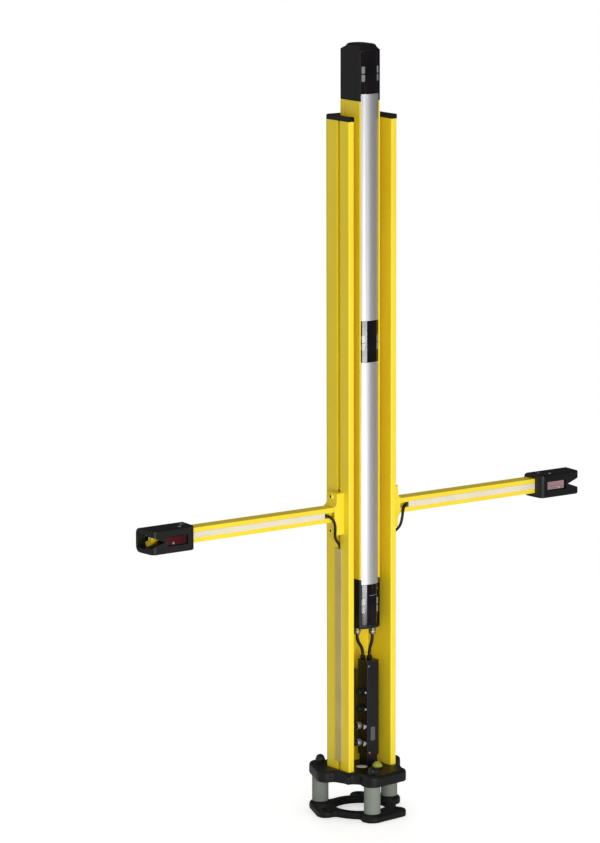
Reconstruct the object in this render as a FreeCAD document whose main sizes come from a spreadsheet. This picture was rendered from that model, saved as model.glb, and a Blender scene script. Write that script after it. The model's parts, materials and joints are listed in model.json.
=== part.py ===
import FreeCAD, Part
import math
import os
import re
import Sketcher
from FreeCAD import Vector

# Safety light-beam column with two retroreflective muting sensors on arms.
# Millimetres, +Z up. The origin is on the floor, on the axis of the base.
# The column's open side faces -Y and the arms lie along X.

SIZES = {
    # floor base
    "base_turn": -20,
    "bushing_circle": 63,
    "bushing_diameter": 25,
    "bushing_height": 42,
    "bushing_ear": 34,
    "floor_bolt_circle": 62,
    "floor_bolt_hole": 9,
    "floor_ear": 28,
    "floor_ear_turn": 46,
    "ring_diameter": 116,
    "foot_ring_diameter": 108,
    "ear_blend": 7,
    "foot_thickness": 11,
    "foot_boss": 2,
    "foot_hole": 80,
    "boss_rim": 1.5,
    "foot_edge": 2,
    "plate_thickness": 18,
    "plate_edge": 4,
    "socket_wall": 7,
    "base_bolt": 8,
    "base_bolt_head": 13,
    "base_bolt_head_height": 5,
    "base_bolt_inset": 1,
    "base_bolt_end": 6.5,
    "spanner_room": 4,
    "bolt_clearance": 0.4,
    "cap_nut_width": 14,
    "cap_nut_hex": 5,
    "cap_nut_height": 11.5,
    "cap_nut_shoulder": 0.4,
    "cap_nut_bore": 7,
    "level_diameter": 17,
    "level_height": 3,
    "level_vial": 15,
    "level_vial_depth": 2,
    "level_vial_crown": 7,
    "level_vial_round": 6,
    "level_edge": 0.6,
    "level_x": 5,
    "level_y": -36,
    # column extrusion
    "socket_depth": 8,
    "socket_clearance": 0.3,
    "column_length": 990,
    "column_width": 88,
    "column_depth": 62,
    "wing_thickness": 10,
    "back_wall": 4,
    "back_corner": 8,
    "front_corner": 2,
    "slot_centre": -5,
    "slot_opening": 8,
    "slot_lip": 2.5,
    "slot_chamber": 13,
    "slot_chamber_depth": 5,
    "screw_port": 5,
    "port_side_inset": 5,
    "port_end_inset": 6.5,
    "cell_wall": 2.5,
    "screw_grip": 0.1,
    "column_screw_length": 24,
    "column_screw_head": 9,
    "column_screw_head_height": 4,
    "cap_height": 7,
    "cap_peg_length": 14,
    "cap_edge": 1.5,
    "slot_cover_width": 18,
    "slot_cover_thickness": 1.4,
    "slot_cover_bevel": 1.5,
    "slot_cover_start": 20,
    "slot_cover_top_gap": 55,
    "fit": 0.2,
    # beam device
    "beam_pitch": 400,
    "beam_window": 62,
    "device_width": 37,
    "device_depth": 48,
    "device_recess": 8,
    "device_wall": 2.2,
    "device_back_wall": 3,
    "device_groove": 3,
    "device_groove_depth": 1.2,
    "device_groove_inset": 7,
    "cover_bulge": 5,
    "cover_edge": 2,
    "ledge": 2,
    "joint_gap": 0.3,
    "head_skirt": 11,
    "head_height": 5.5,
    "head_round": 4,
    "lid_width": 35,
    "lid_bow": 1.06,
    "lid_inset": 2,
    "lid_height": 8.5,
    "lid_sink": 3,
    "lid_round": 5,
    "end_proud": 0.5,
    "foot_round": 2,
    "foot_sill": 6,
    "foot_skirt": 8,
    "clamp_span": 360,
    "clamp_width": 26,
    "clamp_height": 40,
    "clamp_screw": 5,
    "clamp_screw_head": 9,
    "clamp_screw_head_height": 3,
    "board_thickness": 1.6,
    "board_width": 26,
    "block_width": 28,
    "block_height": 50,
    "lens_diameter": 22,
    "lens_thickness": 4,
    "lens_gap": 1,
    "lens_rim": 2,
    "barrel_depth": 12,
    "board_end_gap": 1,
    "device_gland": 12,
    "device_gland_height": 12,
    "gland_collar": 0.8,
    "gland_nut": 0.6,
    "left_gland_x": -8,
    "left_gland_y": -2,
    "right_gland_x": 11,
    "right_gland_y": -15,
    # connection module and its leads
    "module_lift": 16,
    "module_length": 147,
    "module_width": 22,
    "module_depth": 25,
    "module_x": 9,
    "module_front": -20,
    "module_edge": 1.5,
    "module_gland": 9,
    "module_gland_height": 6,
    "module_gland_side": 5.6,
    "module_gland_pitch": 7.4,
    "module_gland_inset": 12.5,
    "module_gland_step": 7,
    "lead_drop": 34,
    "lead_diameter": 5,
    "plug_socket": 13,
    "plug_socket_height": 3,
    "plug_pitch": 26,
    "plug_first": 20,
    "plug_inset": 15,
    "plug_diameter": 11,
    "plug_length": 14,
    "plug_grip": 8.5,
    "plug_neck": 7.5,
    "blank_height": 5,
    "lamp_diameter": 3,
    "lamp_height": 0.8,
    "lamp_inset": 4,
    "status_lamp_rise": 5,
    "module_foot_inset": 2,
    "bracket_sheet": 2,
    "bracket_foot": 9,
    "bracket_length": 110,
    "bracket_inset": 2,
    "bracket_screw": 6,
    "bracket_screw_height": 2.5,
    "bracket_screw_inset": 12,
    # muting arms
    "arm_height": 402.5,
    "arm_size": 22,
    "arm_length": 334,
    "arm_bore": 6,
    "arm_groove": 8,
    "arm_groove_lip": 2,
    "arm_groove_chamber": 12,
    "arm_groove_depth": 7,
    "arm_strip_width": 9.5,
    "arm_strip_thickness": 0.8,
    "arm_strip_bevel": 0.5,
    "arm_strip_start": 17,
    "flange_width": 26,
    "flange_height": 64,
    "flange_thickness": 13,
    "flange_end_flat": 10.5,
    "taper_height": 34,
    "taper_length": 2,
    "hub_size": 26,
    "hub_length": 2,
    "hub_depth": 13,
    "flange_screw": 6,
    "flange_screw_head": 8.5,
    "flange_screw_head_height": 2.5,
    "flange_screw_span": 52,
    "slot_nut_length": 14,
    "slot_nut_thickness": 3.5,
    "hood_length": 76,
    "hood_overlap": 62,
    "hood_height": 36,
    "hood_front": 16,
    "hood_back": 4.5,
    "hood_back_round": 9,
    "hood_front_round": 3,
    "notch_depth": 23,
    "notch_height": 18,
    "notch_overrun": 1,
    "sensor_width": 36,
    "sensor_height": 15,
    "sensor_depth": 11.5,
    "sensor_inset": 13,
    "window_width": 34,
    "window_height": 12,
    "window_thickness": 1.5,
    "hood_screw": 3,
    "hood_screw_head": 5.5,
    "hood_screw_head_height": 1.6,
    "hood_screw_inset": 10,
    "hood_screw_span": 12,
    "hood_screw_front": 7.5,
    "hood_screw_back": 20,
    "arm_lead_diameter": 4.2,
}

doc = FreeCAD.newDocument("beam_column")
sheet = doc.addObject("Spreadsheet::Sheet", "dims")
for row, (name, size) in enumerate(SIZES.items(), start=1):
    sheet.set("A%d" % row, name)
    sheet.set("B%d" % row, str(size))
    sheet.setAlias("B%d" % row, name)
doc.recompute()

WORD = re.compile(r"[a-z_][a-z_0-9]*")
subparts = []


def bind(rule):
    """Turn a rule in plain size names into an expression on the sheet."""
    return WORD.sub(lambda hit: "dims." + hit.group() if hit.group() in SIZES else hit.group(), str(rule))


def value(rule):
    """Give a rule's present number."""
    return float(sheet.evalExpression(bind(rule)))


# heights, stacked from the floor
BUSHING_FOOT = "(foot_thickness + foot_boss)"
PLATE_UNDER = f"({BUSHING_FOOT} + bushing_height)"
PLATE_TOP = f"({PLATE_UNDER} + plate_thickness)"
COLUMN_FOOT = f"({PLATE_TOP} - socket_depth)"
COLUMN_TOP = f"({COLUMN_FOOT} + column_length)"
MODULE_FOOT = f"({PLATE_TOP} + module_lift)"
MODULE_TOP = f"({MODULE_FOOT} + module_length)"
LEAD_FOOT = f"({MODULE_TOP} + module_gland_height)"
LEAD_TOP = f"({LEAD_FOOT} + lead_drop)"
DEVICE_FOOT = f"({LEAD_TOP} + device_gland_height)"
BEAM_LOW = f"({DEVICE_FOOT} + foot_sill + beam_window / 2)"
BEAM_MID = f"({BEAM_LOW} + beam_pitch)"
BEAM_HIGH = f"({BEAM_MID} + beam_pitch)"
FOOT_CAP_TOP = f"({BEAM_LOW} + beam_window / 2 + foot_skirt)"
HEAD_FOOT = f"({BEAM_HIGH} - beam_window / 2 - head_skirt)"
HEAD_TOP = f"({BEAM_HIGH} + beam_window / 2 + head_height)"
ARM_Z = f"({COLUMN_FOOT} + arm_height)"

# faces of the column and of the device in its channel
COLUMN_FRONT = "(0 - column_depth / 2)"
COLUMN_BACK = "(column_depth / 2)"
COLUMN_SIDE = "(column_width / 2)"
WING_INSIDE = f"({COLUMN_SIDE} - wing_thickness)"
CHANNEL_FLOOR = f"({COLUMN_BACK} - back_wall)"
DEVICE_FRONT = f"({COLUMN_FRONT} + device_recess)"
DEVICE_BACK = f"({DEVICE_FRONT} + device_depth)"
CAVITY_BACK = f"({DEVICE_BACK} - device_back_wall)"
COVER_SEAT = f"({DEVICE_FRONT} + cover_edge)"
COVER_HALF = "(device_width / 2 - device_wall - joint_gap)"
SLOT_FLOOR = f"({COLUMN_SIDE} - slot_lip - slot_chamber_depth)"

# stations along an arm
FLANGE_FACE = f"({COLUMN_SIDE} + flange_thickness)"
HUB_START = f"({FLANGE_FACE} + taper_length)"
HUB_END = f"({HUB_START} + hub_length)"
ARM_START = f"({HUB_END} - hub_depth)"
ARM_END = f"({ARM_START} + arm_length)"
ARM_FRONT = "(slot_centre - arm_size / 2)"
ARM_BACK = "(slot_centre + arm_size / 2)"
HOOD_START = f"({ARM_END} - hood_overlap)"
HOOD_END = f"({HOOD_START} + hood_length)"
HOOD_FRONT = f"({ARM_FRONT} - hood_front)"
SENSOR_START = f"({HOOD_START} + sensor_inset)"
SENSOR_END = f"({SENSOR_START} + sensor_width)"


def new_body(label):
    """Start one sub-part as a body of the document."""
    body = doc.addObject("PartDesign::Body", label)
    body.Label = label
    subparts.append(body)
    return body


def sketch_on(body, plane, lift="0"):
    """Lay a sketch on one of the body's own planes, lifted along its normal."""
    sketch = body.newObject("Sketcher::SketchObject", body.Name + "_sketch")
    support = [plane_of for plane_of in body.Origin.OriginFeatures if plane_of.Role == plane][0]
    sketch.AttachmentSupport = [(support, "")]
    sketch.MapMode = "FlatFace"
    sketch.setExpression("AttachmentOffset.Base.z", bind(lift))
    return sketch


def dimension(sketch, constraint, rule):
    """Add one dimension to a sketch and bind it to the sheet."""
    index = sketch.addConstraint(constraint)
    sketch.setExpression("Constraints[%d]" % index, bind(rule))


def tie(sketch, geometry, point, x, y):
    """Hold a point of a sketch at x, y from the sketch's origin."""
    dimension(sketch, Sketcher.Constraint("DistanceX", -1, 1, geometry, point, value(x)), x)
    dimension(sketch, Sketcher.Constraint("DistanceY", -1, 1, geometry, point, value(y)), y)


def polygon(sketch, corners):
    """Draw a closed outline of straight lines."""
    first = sketch.GeometryCount
    spots = [Vector(value(x), value(y), 0) for x, y in corners]
    count = len(spots)
    for i in range(count):
        sketch.addGeometry(Part.LineSegment(spots[i], spots[(i + 1) % count]), False)
    for i in range(count):
        following = first + (i + 1) % count
        sketch.addConstraint(Sketcher.Constraint("Coincident", first + i, 2, following, 1))
    for i, (x, y) in enumerate(corners):
        tie(sketch, first + i, 1, x, y)


def rectangle(sketch, left, bottom, right, top):
    polygon(sketch, [(left, bottom), (right, bottom), (right, top), (left, top)])


def circle(sketch, x, y, diameter):
    ring = Part.Circle(Vector(value(x), value(y), 0), Vector(0, 0, 1), value(diameter) / 2)
    geometry = sketch.addGeometry(ring, False)
    tie(sketch, geometry, 3, x, y)
    dimension(sketch, Sketcher.Constraint("Diameter", geometry, value(diameter)), diameter)


def bowed_outline(sketch, half, back, front, bulge):
    """Draw a rectangle whose front side bows out by bulge."""
    radius = f"(({half}) ^ 2 + ({bulge}) ^ 2) / (2 * ({bulge}))"
    corners = [(f"0 - {half}", front), (f"0 - {half}", back), (half, back), (half, front)]
    spots = [Vector(value(x), value(y), 0) for x, y in corners]
    for i in range(3):
        sketch.addGeometry(Part.LineSegment(spots[i], spots[i + 1]), False)
    crown = Vector(0, value(f"{front} - ({bulge})"), 0)
    arc = sketch.addGeometry(Part.Arc(spots[0], crown, spots[3]), False)
    for i in range(2):
        sketch.addConstraint(Sketcher.Constraint("Coincident", i, 2, i + 1, 1))
    sketch.addConstraint(Sketcher.Constraint("Coincident", arc, 1, 0, 1))
    sketch.addConstraint(Sketcher.Constraint("Coincident", arc, 2, 2, 2))
    for i in range(3):
        tie(sketch, i, 1, *corners[i])
    tie(sketch, 2, 2, *corners[3])
    dimension(sketch, Sketcher.Constraint("Radius", arc, value(radius)), radius)


def pad(body, sketch, length, back=False):
    feature = body.newObject("PartDesign::Pad", body.Name + "_pad")
    feature.Profile = sketch
    feature.setExpression("Length", bind(length))
    feature.Reversed = back
    return feature


def pocket(body, sketch, depth, along=False):
    """Cut against the sketch's normal, or along it."""
    feature = body.newObject("PartDesign::Pocket", body.Name + "_pocket")
    feature.Profile = sketch
    feature.setExpression("Length", bind(depth))
    feature.Reversed = along
    return feature


def turned(body, corners):
    """Turn a profile of radius and height round the body's own Z axis."""
    sketch = sketch_on(body, "XZ_Plane")
    polygon(sketch, corners)
    feature = body.newObject("PartDesign::Revolution", body.Name + "_turn")
    feature.Profile = sketch
    feature.ReferenceAxis = (sketch, ["V_Axis"])
    feature.Angle = 360
    return feature


def rounded(body, base, radius, chosen):
    """Round the edges of the body's last feature that a test chooses."""
    doc.recompute()
    edges = ["Edge%d" % i for i, edge in enumerate(base.Shape.Edges, start=1) if chosen(edge)]
    feature = body.newObject("PartDesign::Fillet", body.Name + "_round")
    feature.Base = (base, edges)
    feature.setExpression("Radius", bind(radius))
    return feature


def place(thing, x, y, z):
    """Set a sub-part at a point of the part's own frame."""
    for axis, rule in zip("xyz", (x, y, z)):
        thing.setExpression("Placement.Base." + axis, bind(rule))


def near(found, rule, slack=0.01):
    return abs(found - value(rule)) < slack


def runs_along(edge, axis):
    """Say whether an edge is a straight line along an axis."""
    if not isinstance(edge.Curve, Part.Line):
        return False
    return abs(abs(edge.Curve.Direction.dot(axis)) - 1) < 1e-6


ACROSS = Vector(1, 0, 0)
UPWARD = Vector(0, 0, 1)


def mirrored(source, label):
    """Make the left-hand twin of a right-hand sub-part."""
    twin = doc.addObject("Part::Mirroring", label)
    twin.Label = label
    twin.Source = source
    twin.Normal = ACROSS
    subparts.append(twin)
    return twin


def grouped(label, members):
    """Gather like pieces as one sub-part of separate solids."""
    group = doc.addObject("Part::Compound", label)
    group.Label = label
    group.Links = members
    subparts.append(group)
    return group


def helper(maker, *details):
    """Make a piece that only belongs to a group."""
    piece = maker(*details)
    subparts.remove(piece)
    return piece


# spots on the base: three bushings, and a floor bolt beside each
def on_circle(radius, angle):
    return f"{radius} * cos({angle})", f"{radius} * sin({angle})"


THIRDS = [f"(base_turn - 90 + {120 * i})" for i in range(3)]
BUSHING_SPOTS = [on_circle("bushing_circle", turn) for turn in THIRDS]
FLOOR_BOLT_SPOTS = [on_circle("floor_bolt_circle", f"{turn} + floor_ear_turn") for turn in THIRDS]
PORT_X = f"({COLUMN_SIDE} - port_side_inset)"
PORT_Y = f"({COLUMN_BACK} - port_end_inset)"
PORT_SPOTS = [(f"{sx} * {PORT_X}", f"{sy} * {PORT_Y}") for sx in (-1, 1) for sy in (-1, 1)]


# flank: the straight side that touches a bushing's ear and the floor bolt's ear next to it
FLANK_X = "(floor_bolt_circle * cos(floor_ear_turn) - bushing_circle)"
FLANK_Y = "(floor_bolt_circle * sin(floor_ear_turn))"
FLANK_SPAN = f"sqrt({FLANK_X} ^ 2 + {FLANK_Y} ^ 2)"
EAR_DROP = "((bushing_ear - floor_ear) / 2)"
FLANK_TURN = f"(atan2({FLANK_Y}; {FLANK_X}) / 1deg - acos({EAR_DROP} / {FLANK_SPAN}) / 1deg)"


def waist(circle_radius, ear, ring):
    """Angle from an ear's middle to the corner where its edge meets the round plate."""
    share = f"({circle_radius} ^ 2 + ({ring} / 2) ^ 2 - ({ear} / 2) ^ 2) / ({circle_radius} * {ring})"
    return f"acos({share}) / 1deg"


def moved(spot, step):
    return f"{spot[0]} + {step[0]}", f"{spot[1]} + {step[1]}"


def outline(sketch, corners, arcs):
    """Draw a closed outline: from each corner a line, or an arc of some radius round a middle."""
    spots = [Vector(value(x), value(y), 0) for x, y in corners]
    count = len(spots)
    for i in range(count):
        start, end = spots[i], spots[(i + 1) % count]
        if i not in arcs:
            sketch.addGeometry(Part.LineSegment(start, end), False)
            continue
        middle = Vector(value(arcs[i][0][0]), value(arcs[i][0][1]), 0)
        first = math.atan2(start.y - middle.y, start.x - middle.x)
        sweep = (math.atan2(end.y - middle.y, end.x - middle.x) - first) % (2 * math.pi)
        reach = (start - middle).Length
        crown = middle + Vector(math.cos(first + sweep / 2), math.sin(first + sweep / 2), 0) * reach
        sketch.addGeometry(Part.Arc(start, crown, end), False)
    for i in range(count):
        sketch.addConstraint(Sketcher.Constraint("Coincident", i, 2, (i + 1) % count, 1))
    for i, (x, y) in enumerate(corners):
        tie(sketch, i, 1, x, y)
    for i, (middle, radius) in arcs.items():
        dimension(sketch, Sketcher.Constraint("Radius", i, value(radius)), radius)


def eared_plate(body, foot, thickness, ring):
    """Cast a round plate with three broad lobes, each from a bushing to a floor bolt."""
    corners = []
    arcs = {}
    for turn, bushing, bolt in zip(THIRDS, BUSHING_SPOTS, FLOOR_BOLT_SPOTS):
        lean = f"({turn} + {FLANK_TURN})"
        arcs[len(corners)] = (bushing, "bushing_ear / 2")
        corners.append(on_circle(f"{ring} / 2", f"({turn} - {waist('bushing_circle', 'bushing_ear', ring)})"))
        corners.append(moved(bushing, on_circle("bushing_ear / 2", lean)))
        arcs[len(corners)] = (bolt, "floor_ear / 2")
        corners.append(moved(bolt, on_circle("floor_ear / 2", lean)))
        arcs[len(corners)] = (("0", "0"), f"{ring} / 2")
        corners.append(on_circle(
            f"{ring} / 2", f"({turn} + floor_ear_turn + {waist('floor_bolt_circle', 'floor_ear', ring)})"))
    sketch = sketch_on(body, "XY_Plane", foot)
    outline(sketch, corners, arcs)
    last = pad(body, sketch, thickness)
    return rounded(body, last, "ear_blend", lambda edge: runs_along(edge, UPWARD) and is_waist(edge, ring))


def is_waist(edge, ring):
    """A waist edge lies where an ear leaves the round plate."""
    spot = edge.CenterOfMass
    return abs(math.hypot(spot.x, spot.y) - value(f"{ring} / 2")) < 0.05


def holes(body, level, spots, diameter, depth, along=False):
    sketch = sketch_on(body, "XY_Plane", level)
    for x, y in spots:
        circle(sketch, x, y, diameter)
    return pocket(body, sketch, depth, along)


def outer_rim(level, ring):
    """Choose the outer edges of a plate at one height."""
    limit = value(f"{ring} / 2") - 1
    return lambda edge: near(edge.BoundBox.ZMin, level) and near(edge.BoundBox.ZMax, level) and all(
        Vector(v.X, v.Y, 0).Length > limit for v in edge.Vertexes)


# foot plate on the floor
BOLT_HEAD_TOP = "(base_bolt_head_height + base_bolt_inset)"
foot = new_body("base_foot_plate")
plate = eared_plate(foot, "0", "foot_thickness", "foot_ring_diameter")
plate = rounded(foot, plate, "foot_edge", outer_rim("foot_thickness", "foot_ring_diameter"))
sketch = sketch_on(foot, "XY_Plane", "foot_thickness")
for x, y in BUSHING_SPOTS:
    circle(sketch, x, y, "bushing_diameter + 2 * boss_rim")
pad(foot, sketch, "foot_boss")
holes(foot, "0", [("0", "0")], "foot_hole", BUSHING_FOOT, True)
holes(foot, "0", FLOOR_BOLT_SPOTS, "floor_bolt_hole", BUSHING_FOOT, True)
holes(foot, "0", BUSHING_SPOTS, "base_bolt + bolt_clearance", BUSHING_FOOT, True)
holes(foot, "0", BUSHING_SPOTS, "base_bolt_head + spanner_room", BOLT_HEAD_TOP, True)

# elastomer bushings that let the column yield and stand up again
bushings = new_body("base_bushings")
sketch = sketch_on(bushings, "XY_Plane", BUSHING_FOOT)
for x, y in BUSHING_SPOTS:
    circle(sketch, x, y, "bushing_diameter")
    circle(sketch, x, y, "base_bolt + bolt_clearance")
pad(bushings, sketch, "bushing_height")

# bolts from below, through plate, bushing and plate
bolts = new_body("base_bolts")
sketch = sketch_on(bolts, "XY_Plane", "base_bolt_inset")
for x, y in BUSHING_SPOTS:
    circle(sketch, x, y, "base_bolt_head")
pad(bolts, sketch, "base_bolt_head_height")
sketch = sketch_on(bolts, "XY_Plane", BOLT_HEAD_TOP)
for x, y in BUSHING_SPOTS:
    circle(sketch, x, y, "base_bolt")
pad(bolts, sketch, f"{PLATE_TOP} + base_bolt_end - {BOLT_HEAD_TOP}")

# upper plate with the socket that takes the column's foot
top_plate = new_body("base_top_plate")
plate = eared_plate(top_plate, PLATE_UNDER, "plate_thickness", "ring_diameter")
plate = rounded(top_plate, plate, "plate_edge", outer_rim(PLATE_TOP, "ring_diameter"))
SOCKET_SIDE = f"({COLUMN_SIDE} + socket_clearance)"
SOCKET_FRONT = f"({COLUMN_FRONT} - socket_clearance)"
SOCKET_BACK = f"({COLUMN_BACK} + socket_clearance)"
sketch = sketch_on(top_plate, "XY_Plane", PLATE_UNDER)
rectangle(sketch, f"0 - {SOCKET_SIDE} - socket_wall", f"{SOCKET_FRONT} - socket_wall",
          f"{SOCKET_SIDE} + socket_wall", f"{SOCKET_BACK} + socket_wall")
pad(top_plate, sketch, "plate_thickness - plate_edge")
sketch = sketch_on(top_plate, "XY_Plane", PLATE_TOP)
PAD_SIDE = f"({WING_INSIDE} - socket_clearance)"
PAD_BACK = f"({CHANNEL_FLOOR} - socket_clearance)"
polygon(sketch, [
    (PAD_SIDE, SOCKET_FRONT), (SOCKET_SIDE, SOCKET_FRONT), (SOCKET_SIDE, SOCKET_BACK),
    (f"0 - {SOCKET_SIDE}", SOCKET_BACK), (f"0 - {SOCKET_SIDE}", SOCKET_FRONT),
    (f"0 - {PAD_SIDE}", SOCKET_FRONT), (f"0 - {PAD_SIDE}", PAD_BACK), (PAD_SIDE, PAD_BACK)])
pocket(top_plate, sketch, "socket_depth")
holes(top_plate, PLATE_TOP, BUSHING_SPOTS, "base_bolt + bolt_clearance", "plate_thickness")
holes(top_plate, PLATE_TOP, PORT_SPOTS, "screw_port + bolt_clearance", "plate_thickness")
holes(top_plate, PLATE_UNDER, PORT_SPOTS, "column_screw_head + 2 * bolt_clearance",
      "column_screw_head_height + base_bolt_inset", True)

# screws up into the column's screw ports
column_screws = new_body("column_screws")
SCREW_SEAT = f"({PLATE_UNDER} + column_screw_head_height + base_bolt_inset)"
sketch = sketch_on(column_screws, "XY_Plane", f"{SCREW_SEAT} - column_screw_head_height")
for x, y in PORT_SPOTS:
    circle(sketch, x, y, "column_screw_head")
pad(column_screws, sketch, "column_screw_head_height")
sketch = sketch_on(column_screws, "XY_Plane", SCREW_SEAT)
for x, y in PORT_SPOTS:
    circle(sketch, x, y, "screw_port - screw_grip")
pad(column_screws, sketch, "column_screw_length")


def cap_nut(x, y):
    """A hexagon with a domed top, bored to half its height for the bolt."""
    nut = new_body("cap_nut")
    sketch = sketch_on(nut, "XY_Plane")
    corner = "(cap_nut_width / 2 / cos(30))"
    polygon(sketch, [on_circle(corner, str(60 * i)) for i in range(6)])
    pad(nut, sketch, "cap_nut_hex")
    sketch = sketch_on(nut, "XZ_Plane")
    dome = "(cap_nut_width / 2 - cap_nut_shoulder)"
    shoulder = f"(cap_nut_height - {dome})"
    first = sketch.addGeometry(Part.LineSegment(Vector(0, value("cap_nut_hex / 2"), 0),
                                                Vector(value(dome), value("cap_nut_hex / 2"), 0)), False)
    side = sketch.addGeometry(Part.LineSegment(Vector(value(dome), value("cap_nut_hex / 2"), 0),
                                               Vector(value(dome), value(shoulder), 0)), False)
    bow = sketch.addGeometry(Part.ArcOfCircle(Part.Circle(Vector(0, value(shoulder), 0), UPWARD, value(dome)),
                                              0, 1.5707963), False)
    axis = sketch.addGeometry(Part.LineSegment(Vector(0, value("cap_nut_height"), 0),
                                               Vector(0, value("cap_nut_hex / 2"), 0)), False)
    for one, two in ((first, side), (bow, axis), (axis, first)):
        sketch.addConstraint(Sketcher.Constraint("Coincident", one, 2, two, 1))
    sketch.addConstraint(Sketcher.Constraint("Coincident", side, 2, bow, 1))
    tie(sketch, first, 1, "0", "cap_nut_hex / 2")
    tie(sketch, side, 1, dome, "cap_nut_hex / 2")
    tie(sketch, bow, 3, "0", shoulder)
    tie(sketch, bow, 1, dome, shoulder)
    sketch.addConstraint(Sketcher.Constraint("Vertical", axis))
    crown = nut.newObject("PartDesign::Revolution", "cap_nut_dome")
    crown.Profile = sketch
    crown.ReferenceAxis = (sketch, ["V_Axis"])
    crown.Angle = 360
    holes(nut, "0", [("0", "0")], "base_bolt + bolt_clearance", "cap_nut_bore", True)
    place(nut, x, y, PLATE_TOP)
    return nut


grouped("base_cap_nuts", [helper(cap_nut, x, y) for x, y in BUSHING_SPOTS])

# round bubble level on the upper plate
level_ring = new_body("level_ring")
turned(level_ring, [("0", "0"), ("level_diameter / 2", "0"),
                    ("level_diameter / 2", "level_height - level_edge"),
                    ("level_diameter / 2 - level_edge", "level_height"), ("level_vial / 2", "level_height"),
                    ("level_vial / 2", "level_height - level_vial_depth"),
                    ("0", "level_height - level_vial_depth")])
place(level_ring, "level_x", "level_y", PLATE_TOP)
level_vial = new_body("level_vial")
VIAL_HEIGHT = "(level_vial_depth + level_vial_crown)"
last = turned(level_vial, [("0", "0"), ("level_vial / 2", "0"), ("level_vial / 2", VIAL_HEIGHT),
                           ("0", VIAL_HEIGHT)])
rounded(level_vial, last, "level_vial_round", lambda edge: near(edge.BoundBox.ZMin, VIAL_HEIGHT))
place(level_vial, "level_x", "level_y", f"{PLATE_TOP} + level_height - level_vial_depth")

# column extrusion: back wall, two wings, a T-slot in each outer side
column = new_body("column_profile")
sketch = sketch_on(column, "XY_Plane", COLUMN_FOOT)
SLOT_LOW = "(slot_centre - slot_opening / 2)"
SLOT_HIGH = "(slot_centre + slot_opening / 2)"
CHAMBER_LOW = "(slot_centre - slot_chamber / 2)"
CHAMBER_HIGH = "(slot_centre + slot_chamber / 2)"
LIP = f"({COLUMN_SIDE} - slot_lip)"
right_half = [
    (WING_INSIDE, CHANNEL_FLOOR), (WING_INSIDE, COLUMN_FRONT), (COLUMN_SIDE, COLUMN_FRONT),
    (COLUMN_SIDE, SLOT_LOW), (LIP, SLOT_LOW), (LIP, CHAMBER_LOW), (SLOT_FLOOR, CHAMBER_LOW),
    (SLOT_FLOOR, CHAMBER_HIGH), (LIP, CHAMBER_HIGH), (LIP, SLOT_HIGH), (COLUMN_SIDE, SLOT_HIGH),
    (COLUMN_SIDE, COLUMN_BACK)]
left_half = [(f"0 - {x}", y) for x, y in reversed(right_half)]
polygon(sketch, right_half + left_half)
last = pad(column, sketch, "column_length")


def at_corner(edge, x, y):
    spot = edge.CenterOfMass
    return runs_along(edge, UPWARD) and near(abs(spot.x), x) and near(spot.y, y)


last = rounded(column, last, "back_corner", lambda edge: at_corner(edge, COLUMN_SIDE, COLUMN_BACK))
last = rounded(column, last, "front_corner", lambda edge: at_corner(edge, COLUMN_SIDE, COLUMN_FRONT)
               or at_corner(edge, WING_INSIDE, COLUMN_FRONT))
holes(column, COLUMN_FOOT, PORT_SPOTS, "screw_port", "column_length", True)
CELL_LOW = f"({CHAMBER_HIGH} + cell_wall)"
CELL_HIGH = f"({PORT_Y} - screw_port / 2 - cell_wall)"
CELL_INSIDE = f"({WING_INSIDE} + cell_wall)"
CELL_OUTSIDE = f"({COLUMN_SIDE} - cell_wall)"
sketch = sketch_on(column, "XY_Plane", COLUMN_FOOT)
rectangle(sketch, CELL_INSIDE, CELL_LOW, CELL_OUTSIDE, CELL_HIGH)
rectangle(sketch, f"0 - {CELL_OUTSIDE}", CELL_LOW, f"0 - {CELL_INSIDE}", CELL_HIGH)
pocket(column, sketch, "column_length", True)
CLAMP_LEVELS = [f"({BEAM_MID} {sign} clamp_span / 2)" for sign in "-+"]
CLAMP_SPOTS = [(x, level) for level in CLAMP_LEVELS for x in ("0 - clamp_width / 4", "clamp_width / 4")]
sketch = sketch_on(column, "XZ_Plane", f"0 - {COLUMN_BACK}")
for x, level in CLAMP_SPOTS:
    circle(sketch, x, level, "clamp_screw + bolt_clearance")
pocket(column, sketch, "back_wall", True)

# end cap on each wing and its half of the back wall, held by a peg in the wing's hollow cell
wing_cap = new_body("wing_cap_right")
sketch = sketch_on(wing_cap, "XY_Plane", COLUMN_TOP)
polygon(sketch, [(WING_INSIDE, CHANNEL_FLOOR), (WING_INSIDE, COLUMN_FRONT), (COLUMN_SIDE, COLUMN_FRONT),
                 (COLUMN_SIDE, COLUMN_BACK), ("joint_gap / 2", COLUMN_BACK),
                 ("joint_gap / 2", CHANNEL_FLOOR)])
last = pad(wing_cap, sketch, "cap_height")
last = rounded(wing_cap, last, "back_corner", lambda edge: at_corner(edge, COLUMN_SIDE, COLUMN_BACK))
CAP_TOP = f"({COLUMN_TOP} + cap_height)"
last = rounded(wing_cap, last, "cap_edge", lambda edge: near(edge.BoundBox.ZMin, CAP_TOP))
sketch = sketch_on(wing_cap, "XY_Plane", COLUMN_TOP)
rectangle(sketch, f"{CELL_INSIDE} + fit", f"{CELL_LOW} + fit", f"{CELL_OUTSIDE} - fit", f"{CELL_HIGH} - fit")
pad(wing_cap, sketch, "cap_peg_length", True)
mirrored(wing_cap, "wing_cap_left")

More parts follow.
